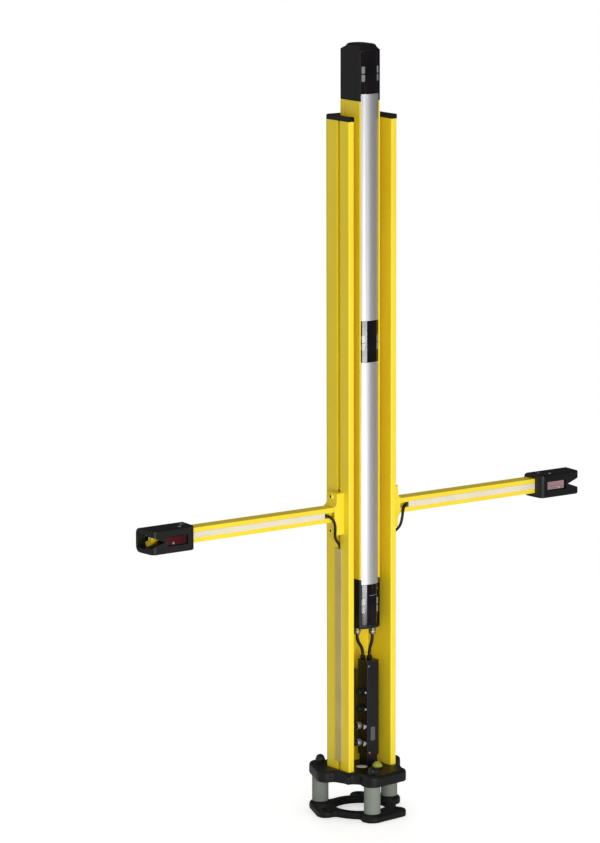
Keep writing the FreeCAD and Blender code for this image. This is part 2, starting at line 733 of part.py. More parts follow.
# cover over the lower stretch of each side slot, with a rib in the slot
slot_cover = new_body("slot_cover_right")
COVER_FOOT = f"({COLUMN_FOOT} + slot_cover_start)"
COVER_TOP = f"({ARM_Z} - slot_cover_top_gap)"
sketch = sketch_on(slot_cover, "XY_Plane", COVER_FOOT)
BAND_FACE = f"({COLUMN_SIDE} + slot_cover_thickness)"
BAND_HALF = "slot_cover_width / 2"
RIB_HALF = "(slot_opening / 2 - fit)"
RIB_END = f"({LIP} + fit)"
polygon(sketch, [
    (COLUMN_SIDE, f"slot_centre - {BAND_HALF}"), (BAND_FACE, f"slot_centre - {BAND_HALF} + slot_cover_bevel"),
    (BAND_FACE, f"slot_centre + {BAND_HALF} - slot_cover_bevel"), (COLUMN_SIDE, f"slot_centre + {BAND_HALF}"),
    (COLUMN_SIDE, f"slot_centre + {RIB_HALF}"), (RIB_END, f"slot_centre + {RIB_HALF}"),
    (RIB_END, f"slot_centre - {RIB_HALF}"), (COLUMN_SIDE, f"slot_centre - {RIB_HALF}")])
pad(slot_cover, sketch, f"{COVER_TOP} - {COVER_FOOT}")
mirrored(slot_cover, "slot_cover_left")

# housing extrusion of the beam device, open to the front behind its covers
device = new_body("device_profile")
DEVICE_SIDE = "(device_width / 2)"
DEVICE_INSIDE = "(device_width / 2 - device_wall)"
LEDGE_INSIDE = f"({DEVICE_INSIDE} - ledge)"
LEDGE_BACK = f"({COVER_SEAT} + ledge)"
SIDE_GROOVE = f"({DEVICE_BACK} - device_groove_inset)"
GROOVE_FLOOR = f"({DEVICE_SIDE} - device_groove_depth)"
sketch = sketch_on(device, "XY_Plane", FOOT_CAP_TOP)
right_half = [
    (DEVICE_INSIDE, CAVITY_BACK), (DEVICE_INSIDE, LEDGE_BACK), (LEDGE_INSIDE, LEDGE_BACK),
    (LEDGE_INSIDE, COVER_SEAT), (DEVICE_INSIDE, COVER_SEAT), (DEVICE_INSIDE, DEVICE_FRONT),
    (DEVICE_SIDE, DEVICE_FRONT), (DEVICE_SIDE, f"{SIDE_GROOVE} - device_groove"),
    (GROOVE_FLOOR, f"{SIDE_GROOVE} - device_groove"), (GROOVE_FLOOR, SIDE_GROOVE),
    (DEVICE_SIDE, SIDE_GROOVE), (DEVICE_SIDE, DEVICE_BACK)]
polygon(sketch, right_half + [(f"0 - {x}", y) for x, y in reversed(right_half)])
pad(device, sketch, f"{HEAD_FOOT} - {FOOT_CAP_TOP}")
sketch = sketch_on(device, "XZ_Plane", f"0 - {DEVICE_BACK}")
for x, level in CLAMP_SPOTS:
    circle(sketch, x, level, "clamp_screw + bolt_clearance")
pocket(device, sketch, "device_back_wall", True)


def bowed_strip(label, low, high):
    """A strip of the device's front, bowed across its width."""
    strip = new_body(label)
    sketch = sketch_on(strip, "XY_Plane", low)
    bowed_outline(sketch, COVER_HALF, COVER_SEAT, DEVICE_FRONT, "cover_bulge")
    pad(strip, sketch, f"{high} - {low}")
    return strip


HALF = "beam_window / 2"
bowed_strip("bottom_window", f"({BEAM_LOW} - {HALF})", f"({BEAM_LOW} + {HALF})")
bowed_strip("front_cover_lower", f"({BEAM_LOW} + {HALF} + joint_gap)", f"({BEAM_MID} - {HALF} - joint_gap)")
bowed_strip("middle_window", f"({BEAM_MID} - {HALF})", f"({BEAM_MID} + {HALF})")
bowed_strip("front_cover_upper", f"({BEAM_MID} + {HALF} + joint_gap)", f"({BEAM_HIGH} - {HALF} - joint_gap)")
bowed_strip("top_window", f"({BEAM_HIGH} - {HALF})", f"({BEAM_HIGH} + {HALF})")

END_HALF = f"({DEVICE_SIDE} + end_proud)"
END_BACK = f"({DEVICE_BACK} + end_proud)"
WINDOW_HALF = f"({COVER_HALF} + joint_gap)"
WINDOW_FRONT = f"({DEVICE_FRONT} - 2 * cover_bulge)"


def end_cap(label, low, high):
    """The outer block of a moulded end of the device, bowed in front."""
    cap = new_body(label)
    sketch = sketch_on(cap, "XY_Plane", low)
    bowed_outline(sketch, END_HALF, END_BACK, DEVICE_FRONT, "cover_bulge + end_proud")
    last = pad(cap, sketch, f"{high} - {low}")
    return cap, last


def open_end_cap(cap, window_low, window_high, cavity_low, cavity_high):
    """Cut the window gap from the front and the cavity behind it."""
    sketch = sketch_on(cap, "XY_Plane", window_low)
    rectangle(sketch, f"0 - {WINDOW_HALF}", WINDOW_FRONT, WINDOW_HALF, COVER_SEAT)
    pocket(cap, sketch, f"{window_high} - {window_low}", True)
    sketch = sketch_on(cap, "XY_Plane", cavity_low)
    rectangle(sketch, f"0 - {LEDGE_INSIDE}", COVER_SEAT, LEDGE_INSIDE, CAVITY_BACK)
    pocket(cap, sketch, f"{cavity_high} - {cavity_low}", True)


# head over the top beam, with a raised oval lid
WINDOW_TOP = f"({BEAM_HIGH} + {HALF} + joint_gap)"
head, last = end_cap("head_cap", HEAD_FOOT, HEAD_TOP)
last = rounded(head, last, "head_round", lambda edge: near(edge.BoundBox.ZMin, HEAD_TOP))
LID_TOP = f"({HEAD_TOP} + lid_height)"
LID_RADIUS = "(lid_width / 2 * lid_bow)"
LID_OFFSET = f"sqrt({LID_RADIUS} ^ 2 - (lid_width / 2) ^ 2)"
LID_END = f"(lid_inset + {LID_RADIUS} - {LID_OFFSET})"
LID_FRONT = f"({DEVICE_FRONT} - cover_bulge - end_proud + {LID_END})"
LID_BACK = f"({END_BACK} - {LID_END})"
sketch = sketch_on(head, "XY_Plane", f"{HEAD_TOP} - lid_sink")
outline(sketch, [("lid_width / 2", LID_FRONT), ("lid_width / 2", LID_BACK),
                 ("0 - lid_width / 2", LID_BACK), ("0 - lid_width / 2", LID_FRONT)],
        {1: (("0", f"{LID_BACK} - {LID_OFFSET}"), LID_RADIUS),
         3: (("0", f"{LID_FRONT} + {LID_OFFSET}"), LID_RADIUS)})
last = pad(head, sketch, "lid_height + lid_sink")
last = rounded(head, last, "lid_round", lambda edge: near(edge.BoundBox.ZMin, LID_TOP))
open_end_cap(head, HEAD_FOOT, WINDOW_TOP, HEAD_FOOT, WINDOW_TOP)

# foot end of the device, round the bottom beam
foot_cap, last = end_cap("foot_cap", DEVICE_FOOT, FOOT_CAP_TOP)
last = rounded(foot_cap, last, "foot_round", lambda edge: near(edge.BoundBox.ZMax, DEVICE_FOOT))
WINDOW_FOOT = f"({BEAM_LOW} - {HALF} - joint_gap)"
open_end_cap(foot_cap, WINDOW_FOOT, FOOT_CAP_TOP, WINDOW_FOOT, FOOT_CAP_TOP)

# optics and electronics inside the device
board = new_body("device_board")
sketch = sketch_on(board, "XY_Plane", f"{WINDOW_FOOT} + board_end_gap")
BOARD_FRONT = f"({CAVITY_BACK} - board_thickness)"
rectangle(sketch, "0 - board_width / 2", BOARD_FRONT, "board_width / 2", CAVITY_BACK)
pad(board, sketch, f"{WINDOW_TOP} - {WINDOW_FOOT} - 2 * board_end_gap")

LENS_FRONT = f"({LEDGE_BACK} + lens_gap)"
BLOCK_FRONT = f"({LENS_FRONT} + lens_thickness)"
BEAMS = (("bottom", BEAM_LOW), ("middle", BEAM_MID), ("top", BEAM_HIGH))
for name, level in BEAMS:
    block = new_body(f"beam_block_{name}")
    sketch = sketch_on(block, "XZ_Plane", f"0 - {BOARD_FRONT}")
    rectangle(sketch, "0 - block_width / 2", f"{level} - block_height / 2", "block_width / 2",
              f"{level} + block_height / 2")
    pad(block, sketch, f"{BOARD_FRONT} - {BLOCK_FRONT}")
    sketch = sketch_on(block, "XZ_Plane", f"0 - {BLOCK_FRONT}")
    circle(sketch, "0", level, "lens_diameter - 2 * lens_rim")
    pocket(block, sketch, "barrel_depth")

lenses = new_body("beam_lenses")
sketch = sketch_on(lenses, "XZ_Plane", f"0 - {BLOCK_FRONT}")
for name, level in BEAMS:
    circle(sketch, "0", level, "lens_diameter")
pad(lenses, sketch, "lens_thickness")

# clamps between the device and the column's back wall
clamps = new_body("device_clamps")
sketch = sketch_on(clamps, "XZ_Plane", f"0 - {CHANNEL_FLOOR}")
for level in CLAMP_LEVELS:
    rectangle(sketch, "0 - clamp_width / 2", f"{level} - clamp_height / 2", "clamp_width / 2",
              f"{level} + clamp_height / 2")
for x, level in CLAMP_SPOTS:
    circle(sketch, x, level, "clamp_screw + bolt_clearance")
pad(clamps, sketch, f"{CHANNEL_FLOOR} - {DEVICE_BACK}")
clamp_screws = new_body("clamp_screws")
sketch = sketch_on(clamp_screws, "XZ_Plane", f"0 - {COLUMN_BACK}")
for x, level in CLAMP_SPOTS:
    circle(sketch, x, level, "clamp_screw_head")
pad(clamp_screws, sketch, "clamp_screw_head_height", True)
sketch = sketch_on(clamp_screws, "XZ_Plane", f"0 - {COLUMN_BACK}")
for x, level in CLAMP_SPOTS:
    circle(sketch, x, level, "clamp_screw")
pad(clamp_screws, sketch, f"{COLUMN_BACK} - {CAVITY_BACK}")

# cable glands under the device and on the module, with a lead between each pair
DEVICE_GLANDS = (("left_gland_x", "left_gland_y"), ("right_gland_x", "right_gland_y"))
GLAND_X = "(module_x - module_width / 2 + module_gland_side)"
GLAND_Y = "(module_front + module_gland_inset)"
MODULE_GLANDS = ((GLAND_X, f"{GLAND_Y} + module_gland_step"), (f"{GLAND_X} + module_gland_pitch", GLAND_Y))


def gland(diameter, height, spot, level):
    """A hexagon nut under a round collar."""
    nut = new_body("gland")
    sketch = sketch_on(nut, "XY_Plane")
    polygon(sketch, [on_circle(f"({diameter} / 2)", str(60 * i)) for i in range(6)])
    pad(nut, sketch, f"{height} * gland_nut")
    sketch = sketch_on(nut, "XY_Plane")
    circle(sketch, "0", "0", f"{diameter} * gland_collar")
    pad(nut, sketch, height)
    place(nut, spot[0], spot[1], level)
    return nut


grouped("device_glands", [helper(gland, "device_gland", "device_gland_height", spot, LEAD_TOP)
                          for spot in DEVICE_GLANDS])
grouped("module_glands", [helper(gland, "module_gland", "module_gland_height", spot, MODULE_TOP)
                          for spot in MODULE_GLANDS])


def lead(label, points, diameter):
    """A round lead: straight runs joined by tangent arcs, as large as the runs allow."""
    edges = []
    start = points[0]
    radii = []
    for before, corner, after in zip(points, points[1:], points[2:]):
        toward = (before - corner).normalize()
        onward = (after - corner).normalize()
        half_turn = (math.pi - toward.getAngle(onward)) / 2
        reach = 0.45 * min((before - corner).Length, (after - corner).Length)
        into = corner + toward * reach
        out = corner + onward * reach
        radius = reach / math.tan(half_turn)
        middle = (toward + onward).normalize()
        crown = corner + middle * (radius / math.cos(half_turn) - radius)
        edges.append(Part.LineSegment(start, into).toShape())
        edges.append(Part.Arc(into, crown, out).toShape())
        radii.append(round(radius, 1))
        start = out
    edges.append(Part.LineSegment(start, points[-1]).toShape())
    path = Part.Wire(edges)
    direction = points[1] - points[0]
    section = Part.Wire(Part.Circle(points[0], direction, diameter / 2).toShape())
    tube = path.makePipeShell([section], True, False)
    piece = doc.addObject("Part::Feature", label)
    piece.Label = label
    piece.Shape = tube
    piece.Placement = FreeCAD.Placement()
    subparts.append(piece)
    expected = math.pi * diameter ** 2 / 4 * path.Length
    print(label, "radii", radii, "volume share", round(tube.Volume / expected, 4))
    return piece


def point(x, y, z):
    return Vector(value(x), value(y), value(z))


for name, above, below in zip(("left", "right"), DEVICE_GLANDS, MODULE_GLANDS):
    slack = "(lead_drop * 0.3)"
    route = [point(above[0], above[1], LEAD_TOP), point(above[0], above[1], f"{LEAD_TOP} - {slack}"),
             point(below[0], below[1], f"{LEAD_FOOT} + {slack}"), point(below[0], below[1], LEAD_FOOT)]
    lead(f"device_lead_{name}", route, value("lead_diameter"))

# connection module that stands in the channel below the device
module = new_body("module_housing")
MODULE_LEFT = "(module_x - module_width / 2)"
MODULE_RIGHT = "(module_x + module_width / 2)"
MODULE_BACK = "(module_front + module_depth)"
SOCKET_LEVELS = [f"({MODULE_FOOT} + plug_first + {i} * plug_pitch)" for i in range(4)]
SOCKET_Y = "(module_front + plug_inset)"
sketch = sketch_on(module, "XY_Plane", MODULE_FOOT)
rectangle(sketch, MODULE_LEFT, "module_front", MODULE_RIGHT, MODULE_BACK)
last = pad(module, sketch, "module_length")
last = rounded(module, last, "module_edge", lambda edge: runs_along(edge, UPWARD))
sketch = sketch_on(module, "XY_Plane", MODULE_FOOT)
rectangle(sketch, f"{MODULE_LEFT} + module_foot_inset", "module_front + module_foot_inset",
          f"{MODULE_RIGHT} - module_foot_inset", f"{MODULE_BACK} - module_foot_inset")
pad(module, sketch, "module_lift", True)

sockets = new_body("module_sockets")
sketch = sketch_on(sockets, "YZ_Plane", MODULE_LEFT)
for level in SOCKET_LEVELS:
    circle(sketch, SOCKET_Y, level, "plug_socket")
pad(sockets, sketch, "plug_socket_height", True)
SOCKET_FACE = f"({MODULE_LEFT} - plug_socket_height)"
blanks = new_body("blanking_caps")
sketch = sketch_on(blanks, "YZ_Plane", SOCKET_FACE)
for level in SOCKET_LEVELS[2:]:
    circle(sketch, SOCKET_Y, level, "plug_diameter")
pad(blanks, sketch, "blank_height", True)
plugs = new_body("sensor_plugs")
sketch = sketch_on(plugs, "YZ_Plane", SOCKET_FACE)
for level in SOCKET_LEVELS[:2]:
    circle(sketch, SOCKET_Y, level, "plug_diameter")
pad(plugs, sketch, "plug_grip", True)
sketch = sketch_on(plugs, "YZ_Plane", SOCKET_FACE)
for level in SOCKET_LEVELS[:2]:
    circle(sketch, SOCKET_Y, level, "plug_neck")
pad(plugs, sketch, "plug_length", True)
PLUG_END = f"({SOCKET_FACE} - plug_length)"
for name, level in zip(("lower", "upper"), SOCKET_LEVELS):
    span = f"({PLUG_END} + {WING_INSIDE})"
    route = [point(PLUG_END, SOCKET_Y, level), point(f"{PLUG_END} - {span} * 0.35", SOCKET_Y, level),
             point(f"0 - {WING_INSIDE} + {span} * 0.35", f"{SOCKET_Y} + 3", f"{level} - 3"),
             point(f"0 - {WING_INSIDE}", f"{SOCKET_Y} + 3", f"{level} - 3")]
    lead(f"sensor_lead_{name}", route, value("arm_lead_diameter"))

lamps = new_body("module_lamps")
sketch = sketch_on(lamps, "YZ_Plane", MODULE_LEFT)
for level in SOCKET_LEVELS:
    circle(sketch, "module_front + lamp_inset", level, "lamp_diameter")
pad(lamps, sketch, "lamp_height", True)
status_lamp = new_body("status_lamp")
sketch = sketch_on(status_lamp, "XZ_Plane", "0 - module_front")
circle(sketch, f"{MODULE_LEFT} + lamp_inset", f"{MODULE_FOOT} + status_lamp_rise", "lamp_diameter")
pad(status_lamp, sketch, "lamp_height")

# hat-shaped sheet bracket that carries the module off the back wall
bracket = new_body("module_bracket")
BRACKET_FOOT = f"({MODULE_FOOT} + (module_length - bracket_length) / 2)"
sketch = sketch_on(bracket, "XY_Plane", BRACKET_FOOT)
LEG_LEFT = f"({MODULE_LEFT} + bracket_inset)"
LEG_RIGHT = f"({MODULE_RIGHT} - bracket_inset)"
WEB_BACK = f"({MODULE_BACK} + bracket_sheet)"
SOLE = f"({CHANNEL_FLOOR} - bracket_sheet)"
polygon(sketch, [
    (LEG_LEFT, MODULE_BACK), (LEG_RIGHT, MODULE_BACK), (LEG_RIGHT, SOLE),
    (f"{LEG_RIGHT} + bracket_foot", SOLE), (f"{LEG_RIGHT} + bracket_foot", CHANNEL_FLOOR),
    (f"{LEG_RIGHT} - bracket_sheet", CHANNEL_FLOOR),
    (f"{LEG_RIGHT} - bracket_sheet", WEB_BACK), (f"{LEG_LEFT} + bracket_sheet", WEB_BACK),
    (f"{LEG_LEFT} + bracket_sheet", CHANNEL_FLOOR), (f"{LEG_LEFT} - bracket_foot", CHANNEL_FLOOR),
    (f"{LEG_LEFT} - bracket_foot", SOLE), (LEG_LEFT, SOLE)])
pad(bracket, sketch, "bracket_length")
bracket_screws = new_body("module_bracket_screws")
sketch = sketch_on(bracket_screws, "XZ_Plane", f"0 - {SOLE}")
for rise in ("bracket_screw_inset", "bracket_length - bracket_screw_inset"):
    for x in (f"{LEG_LEFT} - bracket_foot / 2", f"{LEG_RIGHT} + bracket_foot / 2"):
        circle(sketch, x, f"{BRACKET_FOOT} + {rise}", "bracket_screw")
pad(bracket_screws, sketch, "bracket_screw_height")

# bracket of the right arm: flange on the slot, taper, square hub for the arm
flange = new_body("arm_bracket_right")


def square_on(body, station, height, width):
    """Draw a rectangle round the arm's line, on a plane across it."""
    sketch = sketch_on(body, "YZ_Plane", station)
    rectangle(sketch, f"slot_centre - {width} / 2", f"{ARM_Z} - {height} / 2", f"slot_centre + {width} / 2",
              f"{ARM_Z} + {height} / 2")
    return sketch


last = pad(flange, square_on(flange, COLUMN_SIDE, "flange_height", "flange_width"), "flange_thickness")
last = rounded(flange, last, "flange_width / 2 - flange_end_flat", lambda edge: runs_along(edge, ACROSS))
taper = flange.newObject("PartDesign::AdditiveLoft", "arm_taper")
taper.Profile = square_on(flange, FLANGE_FACE, "taper_height", "flange_width")
taper.Sections = [square_on(flange, HUB_START, "hub_size", "hub_size")]
taper.Ruled = True
pad(flange, square_on(flange, HUB_START, "hub_size", "hub_size"), "hub_length")
ARM_SOCKET = "(arm_size + 2 * fit)"
pocket(flange, square_on(flange, HUB_END, ARM_SOCKET, ARM_SOCKET), "hub_depth")
FLANGE_SPOTS = [("slot_centre", f"({ARM_Z} {sign} flange_screw_span / 2)") for sign in "-+"]
sketch = sketch_on(flange, "YZ_Plane", COLUMN_SIDE)
for y, level in FLANGE_SPOTS:
    circle(sketch, y, level, "flange_screw + bolt_clearance")
pocket(flange, sketch, "flange_thickness", True)
mirrored(flange, "arm_bracket_left")


def flange_screws():
    """The two socket screws of the right bracket."""
    screws = new_body("flange_screws")
    sketch = sketch_on(screws, "YZ_Plane", FLANGE_FACE)
    for y, level in FLANGE_SPOTS:
        circle(sketch, y, level, "flange_screw_head")
    pad(screws, sketch, "flange_screw_head_height")
    sketch = sketch_on(screws, "YZ_Plane", FLANGE_FACE)
    for y, level in FLANGE_SPOTS:
        circle(sketch, y, level, "flange_screw")
    pad(screws, sketch, f"{FLANGE_FACE} - {LIP} + slot_nut_thickness", True)
    return screws


def slot_nuts():
    """The two nuts behind the slot's lips."""
    nuts = new_body("slot_nuts")
    sketch = sketch_on(nuts, "YZ_Plane", LIP)
    for y, level in FLANGE_SPOTS:
        rectangle(sketch, f"{CHAMBER_LOW} + fit", f"{level} - slot_nut_length / 2", f"{CHAMBER_HIGH} - fit",
                  f"{level} + slot_nut_length / 2")
        circle(sketch, y, level, "flange_screw + screw_grip")
    pad(nuts, sketch, "slot_nut_thickness", True)
    return nuts


for label, maker in (("arm_bracket_screws", flange_screws), ("arm_slot_nuts", slot_nuts)):
    pair = helper(maker)
    grouped(label, [pair, helper(mirrored, pair, label + "_left")])

# arm extrusion with a groove along its front and its back
arm = new_body("arm_profile_right")
sketch = sketch_on(arm, "YZ_Plane", ARM_START)
LOW = f"({ARM_Z} - arm_size / 2)"
HIGH = f"({ARM_Z} + arm_size / 2)"


def groove(face, way):
    """Corners of one T-shaped groove, from its lower lip to its upper lip."""
    lip = f"({face} {way} arm_groove_lip)"
    floor = f"({face} {way} arm_groove_depth)"
    mouth = "arm_groove / 2"
    chamber = "arm_groove_chamber / 2"
    return [(face, f"{ARM_Z} - {mouth}"), (lip, f"{ARM_Z} - {mouth}"), (lip, f"{ARM_Z} - {chamber}"),
            (floor, f"{ARM_Z} - {chamber}"), (floor, f"{ARM_Z} + {chamber}"), (lip, f"{ARM_Z} + {chamber}"),
            (lip, f"{ARM_Z} + {mouth}"), (face, f"{ARM_Z} + {mouth}")]


polygon(sketch, [(ARM_FRONT, LOW)] + groove(ARM_FRONT, "+") + [(ARM_FRONT, HIGH), (ARM_BACK, HIGH)]
        + list(reversed(groove(ARM_BACK, "-"))) + [(ARM_BACK, LOW)])
circle(sketch, "slot_centre", ARM_Z, "arm_bore")
pad(arm, sketch, "arm_length")
mirrored(arm, "arm_profile_left")

# cover strip in the arm's front groove
strip = new_body("arm_strip_right")
STRIP_START = f"({HUB_END} + arm_strip_start)"
sketch = sketch_on(strip, "YZ_Plane", STRIP_START)
STRIP_FACE = f"({ARM_FRONT} - arm_strip_thickness)"
STEM_END = f"({ARM_FRONT} + arm_groove_lip - fit)"
STEM_HALF = "(arm_groove / 2 - fit)"
polygon(sketch, [
    (ARM_FRONT, f"{ARM_Z} - arm_strip_width / 2"), (ARM_FRONT, f"{ARM_Z} - {STEM_HALF}"),
    (STEM_END, f"{ARM_Z} - {STEM_HALF}"), (STEM_END, f"{ARM_Z} + {STEM_HALF}"),
    (ARM_FRONT, f"{ARM_Z} + {STEM_HALF}"), (ARM_FRONT, f"{ARM_Z} + arm_strip_width / 2"),
    (STRIP_FACE, f"{ARM_Z} + arm_strip_width / 2 - arm_strip_bevel"),
    (STRIP_FACE, f"{ARM_Z} - arm_strip_width / 2 + arm_strip_bevel")])
pad(strip, sketch, f"{HOOD_START} - joint_gap - {STRIP_START}")
mirrored(strip, "arm_strip_left")

# hood: sleeve on the arm's end, sensor bay in front, notch at the outer end
hood = new_body("hood_right")
HOOD_BACK = f"({ARM_BACK} + hood_back)"
HOOD_LOW = f"({ARM_Z} - hood_height / 2)"
HOOD_HIGH = f"({ARM_Z} + hood_height / 2)"
sketch = sketch_on(hood, "YZ_Plane", HOOD_START)
rectangle(sketch, HOOD_FRONT, HOOD_LOW, HOOD_BACK, HOOD_HIGH)
last = pad(hood, sketch, "hood_length")
last = rounded(hood, last, "hood_back_round",
               lambda edge: runs_along(edge, ACROSS) and near(edge.CenterOfMass.y, HOOD_BACK))
last = rounded(hood, last, "hood_front_round",
               lambda edge: runs_along(edge, ACROSS) and near(edge.CenterOfMass.y, HOOD_FRONT))
sketch = sketch_on(hood, "YZ_Plane", HOOD_START)
rectangle(sketch, f"{ARM_FRONT} - fit", f"{LOW} - fit", f"{ARM_BACK} + fit", f"{HIGH} + fit")
pocket(hood, sketch, "hood_length", True)
sketch = sketch_on(hood, "XZ_Plane", f"0 - {HOOD_FRONT}")
rectangle(sketch, f"{SENSOR_START} - fit", f"{ARM_Z} - sensor_height / 2 - fit", f"{SENSOR_END} + fit",
          f"{ARM_Z} + sensor_height / 2 + fit")
pocket(hood, sketch, "hood_front")
sketch = sketch_on(hood, "XZ_Plane", f"0 - {HOOD_FRONT}")
NOTCH_END = f"({HOOD_END} + notch_overrun)"
polygon(sketch, [(f"{HOOD_END} - notch_depth", ARM_Z), (NOTCH_END, f"{ARM_Z} - notch_height / 2"),
                 (NOTCH_END, f"{ARM_Z} + notch_height / 2")])
pocket(hood, sketch, "hood_front")
FIRST_SCREW = f"({SENSOR_START} + hood_screw_inset)"
HOOD_SCREW_SPOTS = [(FIRST_SCREW, f"{HOOD_FRONT} + hood_screw_front"),
                    (f"{FIRST_SCREW} - hood_screw_span", f"{HOOD_FRONT} + hood_screw_back")]
holes(hood, HOOD_HIGH, HOOD_SCREW_SPOTS, "hood_screw + fit", f"{HOOD_HIGH} - {HIGH} - fit")
mirrored(hood, "hood_left")


def hood_screws():
    """The two screws in the top of the right hood."""
    screws = new_body("hood_screw_pair")
    for level, diameter, length, down in ((HOOD_HIGH, "hood_screw_head", "hood_screw_head_height", False),
                                          (HOOD_HIGH, "hood_screw", f"{HOOD_HIGH} - {HIGH} - fit", True)):
        sketch = sketch_on(screws, "XY_Plane", level)
        for x, y in HOOD_SCREW_SPOTS:
            circle(sketch, x, y, diameter)
        pad(screws, sketch, length, down)
    return screws


pair = helper(hood_screws)
grouped("hood_screws", [pair, helper(mirrored, pair, "hood_screws_left")])

# retroreflective sensor in the bay, against the arm's front
sensor = new_body("sensor_right")
sketch = sketch_on(sensor, "XZ_Plane", f"0 - {ARM_FRONT}")
rectangle(sketch, SENSOR_START, f"{ARM_Z} - sensor_height / 2", SENSOR_END, f"{ARM_Z} + sensor_height / 2")
pad(sensor, sketch, "sensor_depth")
mirrored(sensor, "sensor_left")
window = new_body("sensor_window_right")
sketch = sketch_on(window, "XZ_Plane", f"sensor_depth - {ARM_FRONT}")
MIDDLE = f"({SENSOR_START} + sensor_width / 2)"
rectangle(sketch, f"{MIDDLE} - window_width / 2", f"{ARM_Z} - window_height / 2",
          f"{MIDDLE} + window_width / 2", f"{ARM_Z} + window_height / 2")
pad(window, sketch, "window_thickness")
mirrored(window, "sensor_window_left")

# arm lead: out of the arm's groove, round the bracket, into the column's slot
GROOVE_MIDDLE = f"{ARM_FRONT} + (arm_groove_lip + arm_groove_depth) / 2"
CHAMBER_MIDDLE = f"{SLOT_FLOOR} + slot_chamber_depth / 2"
FLANGE_FOOT = f"({ARM_Z} - flange_height / 2)"
arm_route = [
    point(f"{STRIP_START} + 14", GROOVE_MIDDLE, ARM_Z),
    point(f"{STRIP_START} - 0.5", GROOVE_MIDDLE, ARM_Z),
    point(f"{HUB_END} + 9", f"{ARM_FRONT} - 0.1", f"{ARM_Z} - 0.8"),
    point(f"{HUB_END} + 3.4", f"{ARM_FRONT} - 4.1", f"{ARM_Z} - 6.5"),
    point(f"{HUB_END} + 1", f"{ARM_FRONT} - 5.8", f"{ARM_Z} - 17"),
    point(f"{FLANGE_FACE} + 3.8", f"{ARM_FRONT} - 2", f"{FLANGE_FOOT} + 0.5"),
    point(f"{FLANGE_FACE} - 4", "slot_centre - 6.4", f"{FLANGE_FOOT} - 9"),
    point(f"{COLUMN_SIDE} - 0.7", "slot_centre - 0.8", f"{FLANGE_FOOT} - 17"),
    point(f"{CHAMBER_MIDDLE} + 0.2", "slot_centre", f"{COVER_TOP} - 5"),
    point(CHAMBER_MIDDLE, "slot_centre + 0.1", f"{COVER_TOP} - 19")]
arm_lead = lead("arm_lead_right", arm_route, value("arm_lead_diameter"))
mirrored(arm_lead, "arm_lead_left")

# check every object, then write one file for each sub-part
doc.recompute()
for thing in doc.Objects:
    if "Invalid" in thing.State or "Error" in thing.State:
        raise RuntimeError("failed: " + thing.Name + " of " + thing.TypeId + " " + str(thing.State))
os.makedirs("parts", exist_ok=True)
for thing in subparts:
    shape = thing.Shape
    if shape.isNull() or not shape.isValid() or not shape.Solids:
        raise RuntimeError("bad shape: " + thing.Label)
    shape.exportStep(os.path.join("parts", thing.Label + ".step"))
    box = shape.BoundBox
    print(thing.Label, len(shape.Solids), "solids", round(shape.Volume), "mm3, from",
          [round(v, 1) for v in (box.XMin, box.YMin, box.ZMin)], "to",
          [round(v, 1) for v in (box.XMax, box.YMax, box.ZMax)])
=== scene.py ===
# %% [markdown]
# # Dressing a safety beam column
# The solids of this object come ready made: a yellow column on a yielding floor base, a slim beam
# device in its channel, and two arms that carry hooded sensors. This lesson gives them their looks.
# It sets a camera and light, builds a finish for every surface from shader nodes, softens the castings
# and the hoods, and models the small things that only matter up close, such as screw heads, cable
# leads and the bubble level.

# %% Load the solids
import json
import math

import bmesh
import bpy
from mathutils import Matrix, Vector


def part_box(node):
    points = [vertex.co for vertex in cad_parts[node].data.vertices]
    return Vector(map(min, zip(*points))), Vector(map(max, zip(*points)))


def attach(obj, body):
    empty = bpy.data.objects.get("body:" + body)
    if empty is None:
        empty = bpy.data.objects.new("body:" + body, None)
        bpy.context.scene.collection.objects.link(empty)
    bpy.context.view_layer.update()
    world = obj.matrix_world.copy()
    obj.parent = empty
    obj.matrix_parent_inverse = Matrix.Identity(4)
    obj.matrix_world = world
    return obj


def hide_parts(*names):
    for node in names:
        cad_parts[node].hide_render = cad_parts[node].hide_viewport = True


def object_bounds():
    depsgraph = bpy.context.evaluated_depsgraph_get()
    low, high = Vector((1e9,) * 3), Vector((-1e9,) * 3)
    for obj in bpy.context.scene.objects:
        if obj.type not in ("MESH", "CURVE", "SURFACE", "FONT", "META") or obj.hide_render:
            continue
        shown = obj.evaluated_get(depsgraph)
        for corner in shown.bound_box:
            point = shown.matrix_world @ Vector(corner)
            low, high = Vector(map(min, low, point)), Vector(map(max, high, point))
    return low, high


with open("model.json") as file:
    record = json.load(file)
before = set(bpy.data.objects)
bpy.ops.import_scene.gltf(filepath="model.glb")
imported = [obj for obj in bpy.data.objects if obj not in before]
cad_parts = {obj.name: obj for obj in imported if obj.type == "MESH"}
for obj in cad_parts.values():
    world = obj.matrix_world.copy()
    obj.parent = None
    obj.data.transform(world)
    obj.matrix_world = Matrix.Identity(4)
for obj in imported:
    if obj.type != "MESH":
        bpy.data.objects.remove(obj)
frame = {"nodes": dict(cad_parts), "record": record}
cad_low, cad_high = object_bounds()
MM = 0.001
BODY = "root"
print("solids:", len(frame["nodes"]), "nodes, box", [round(c, 3) for c in cad_high - cad_low])

# %% [markdown]
# ## Camera
# The picture was taken from the left of the column's open front, from above its head, with a long lens.
# A long lens keeps the column's edges nearly upright. The column stands right of the middle, so the
# frame is moved sideways by a small lens shift, and the camera itself only tilts down.

# %% Place the camera
PHOTO_LONG_SIDE = 843
SENSOR = 36.0
FOCAL_PIXELS = 4523.6
VIEW_AZIMUTH = math.radians(36.15)
VIEW_TILT = math.radians(10.3)
VIEW_DISTANCE = 6.652
VIEW_HEIGHT = 1.809
FRAME_SHIFT = -0.0718

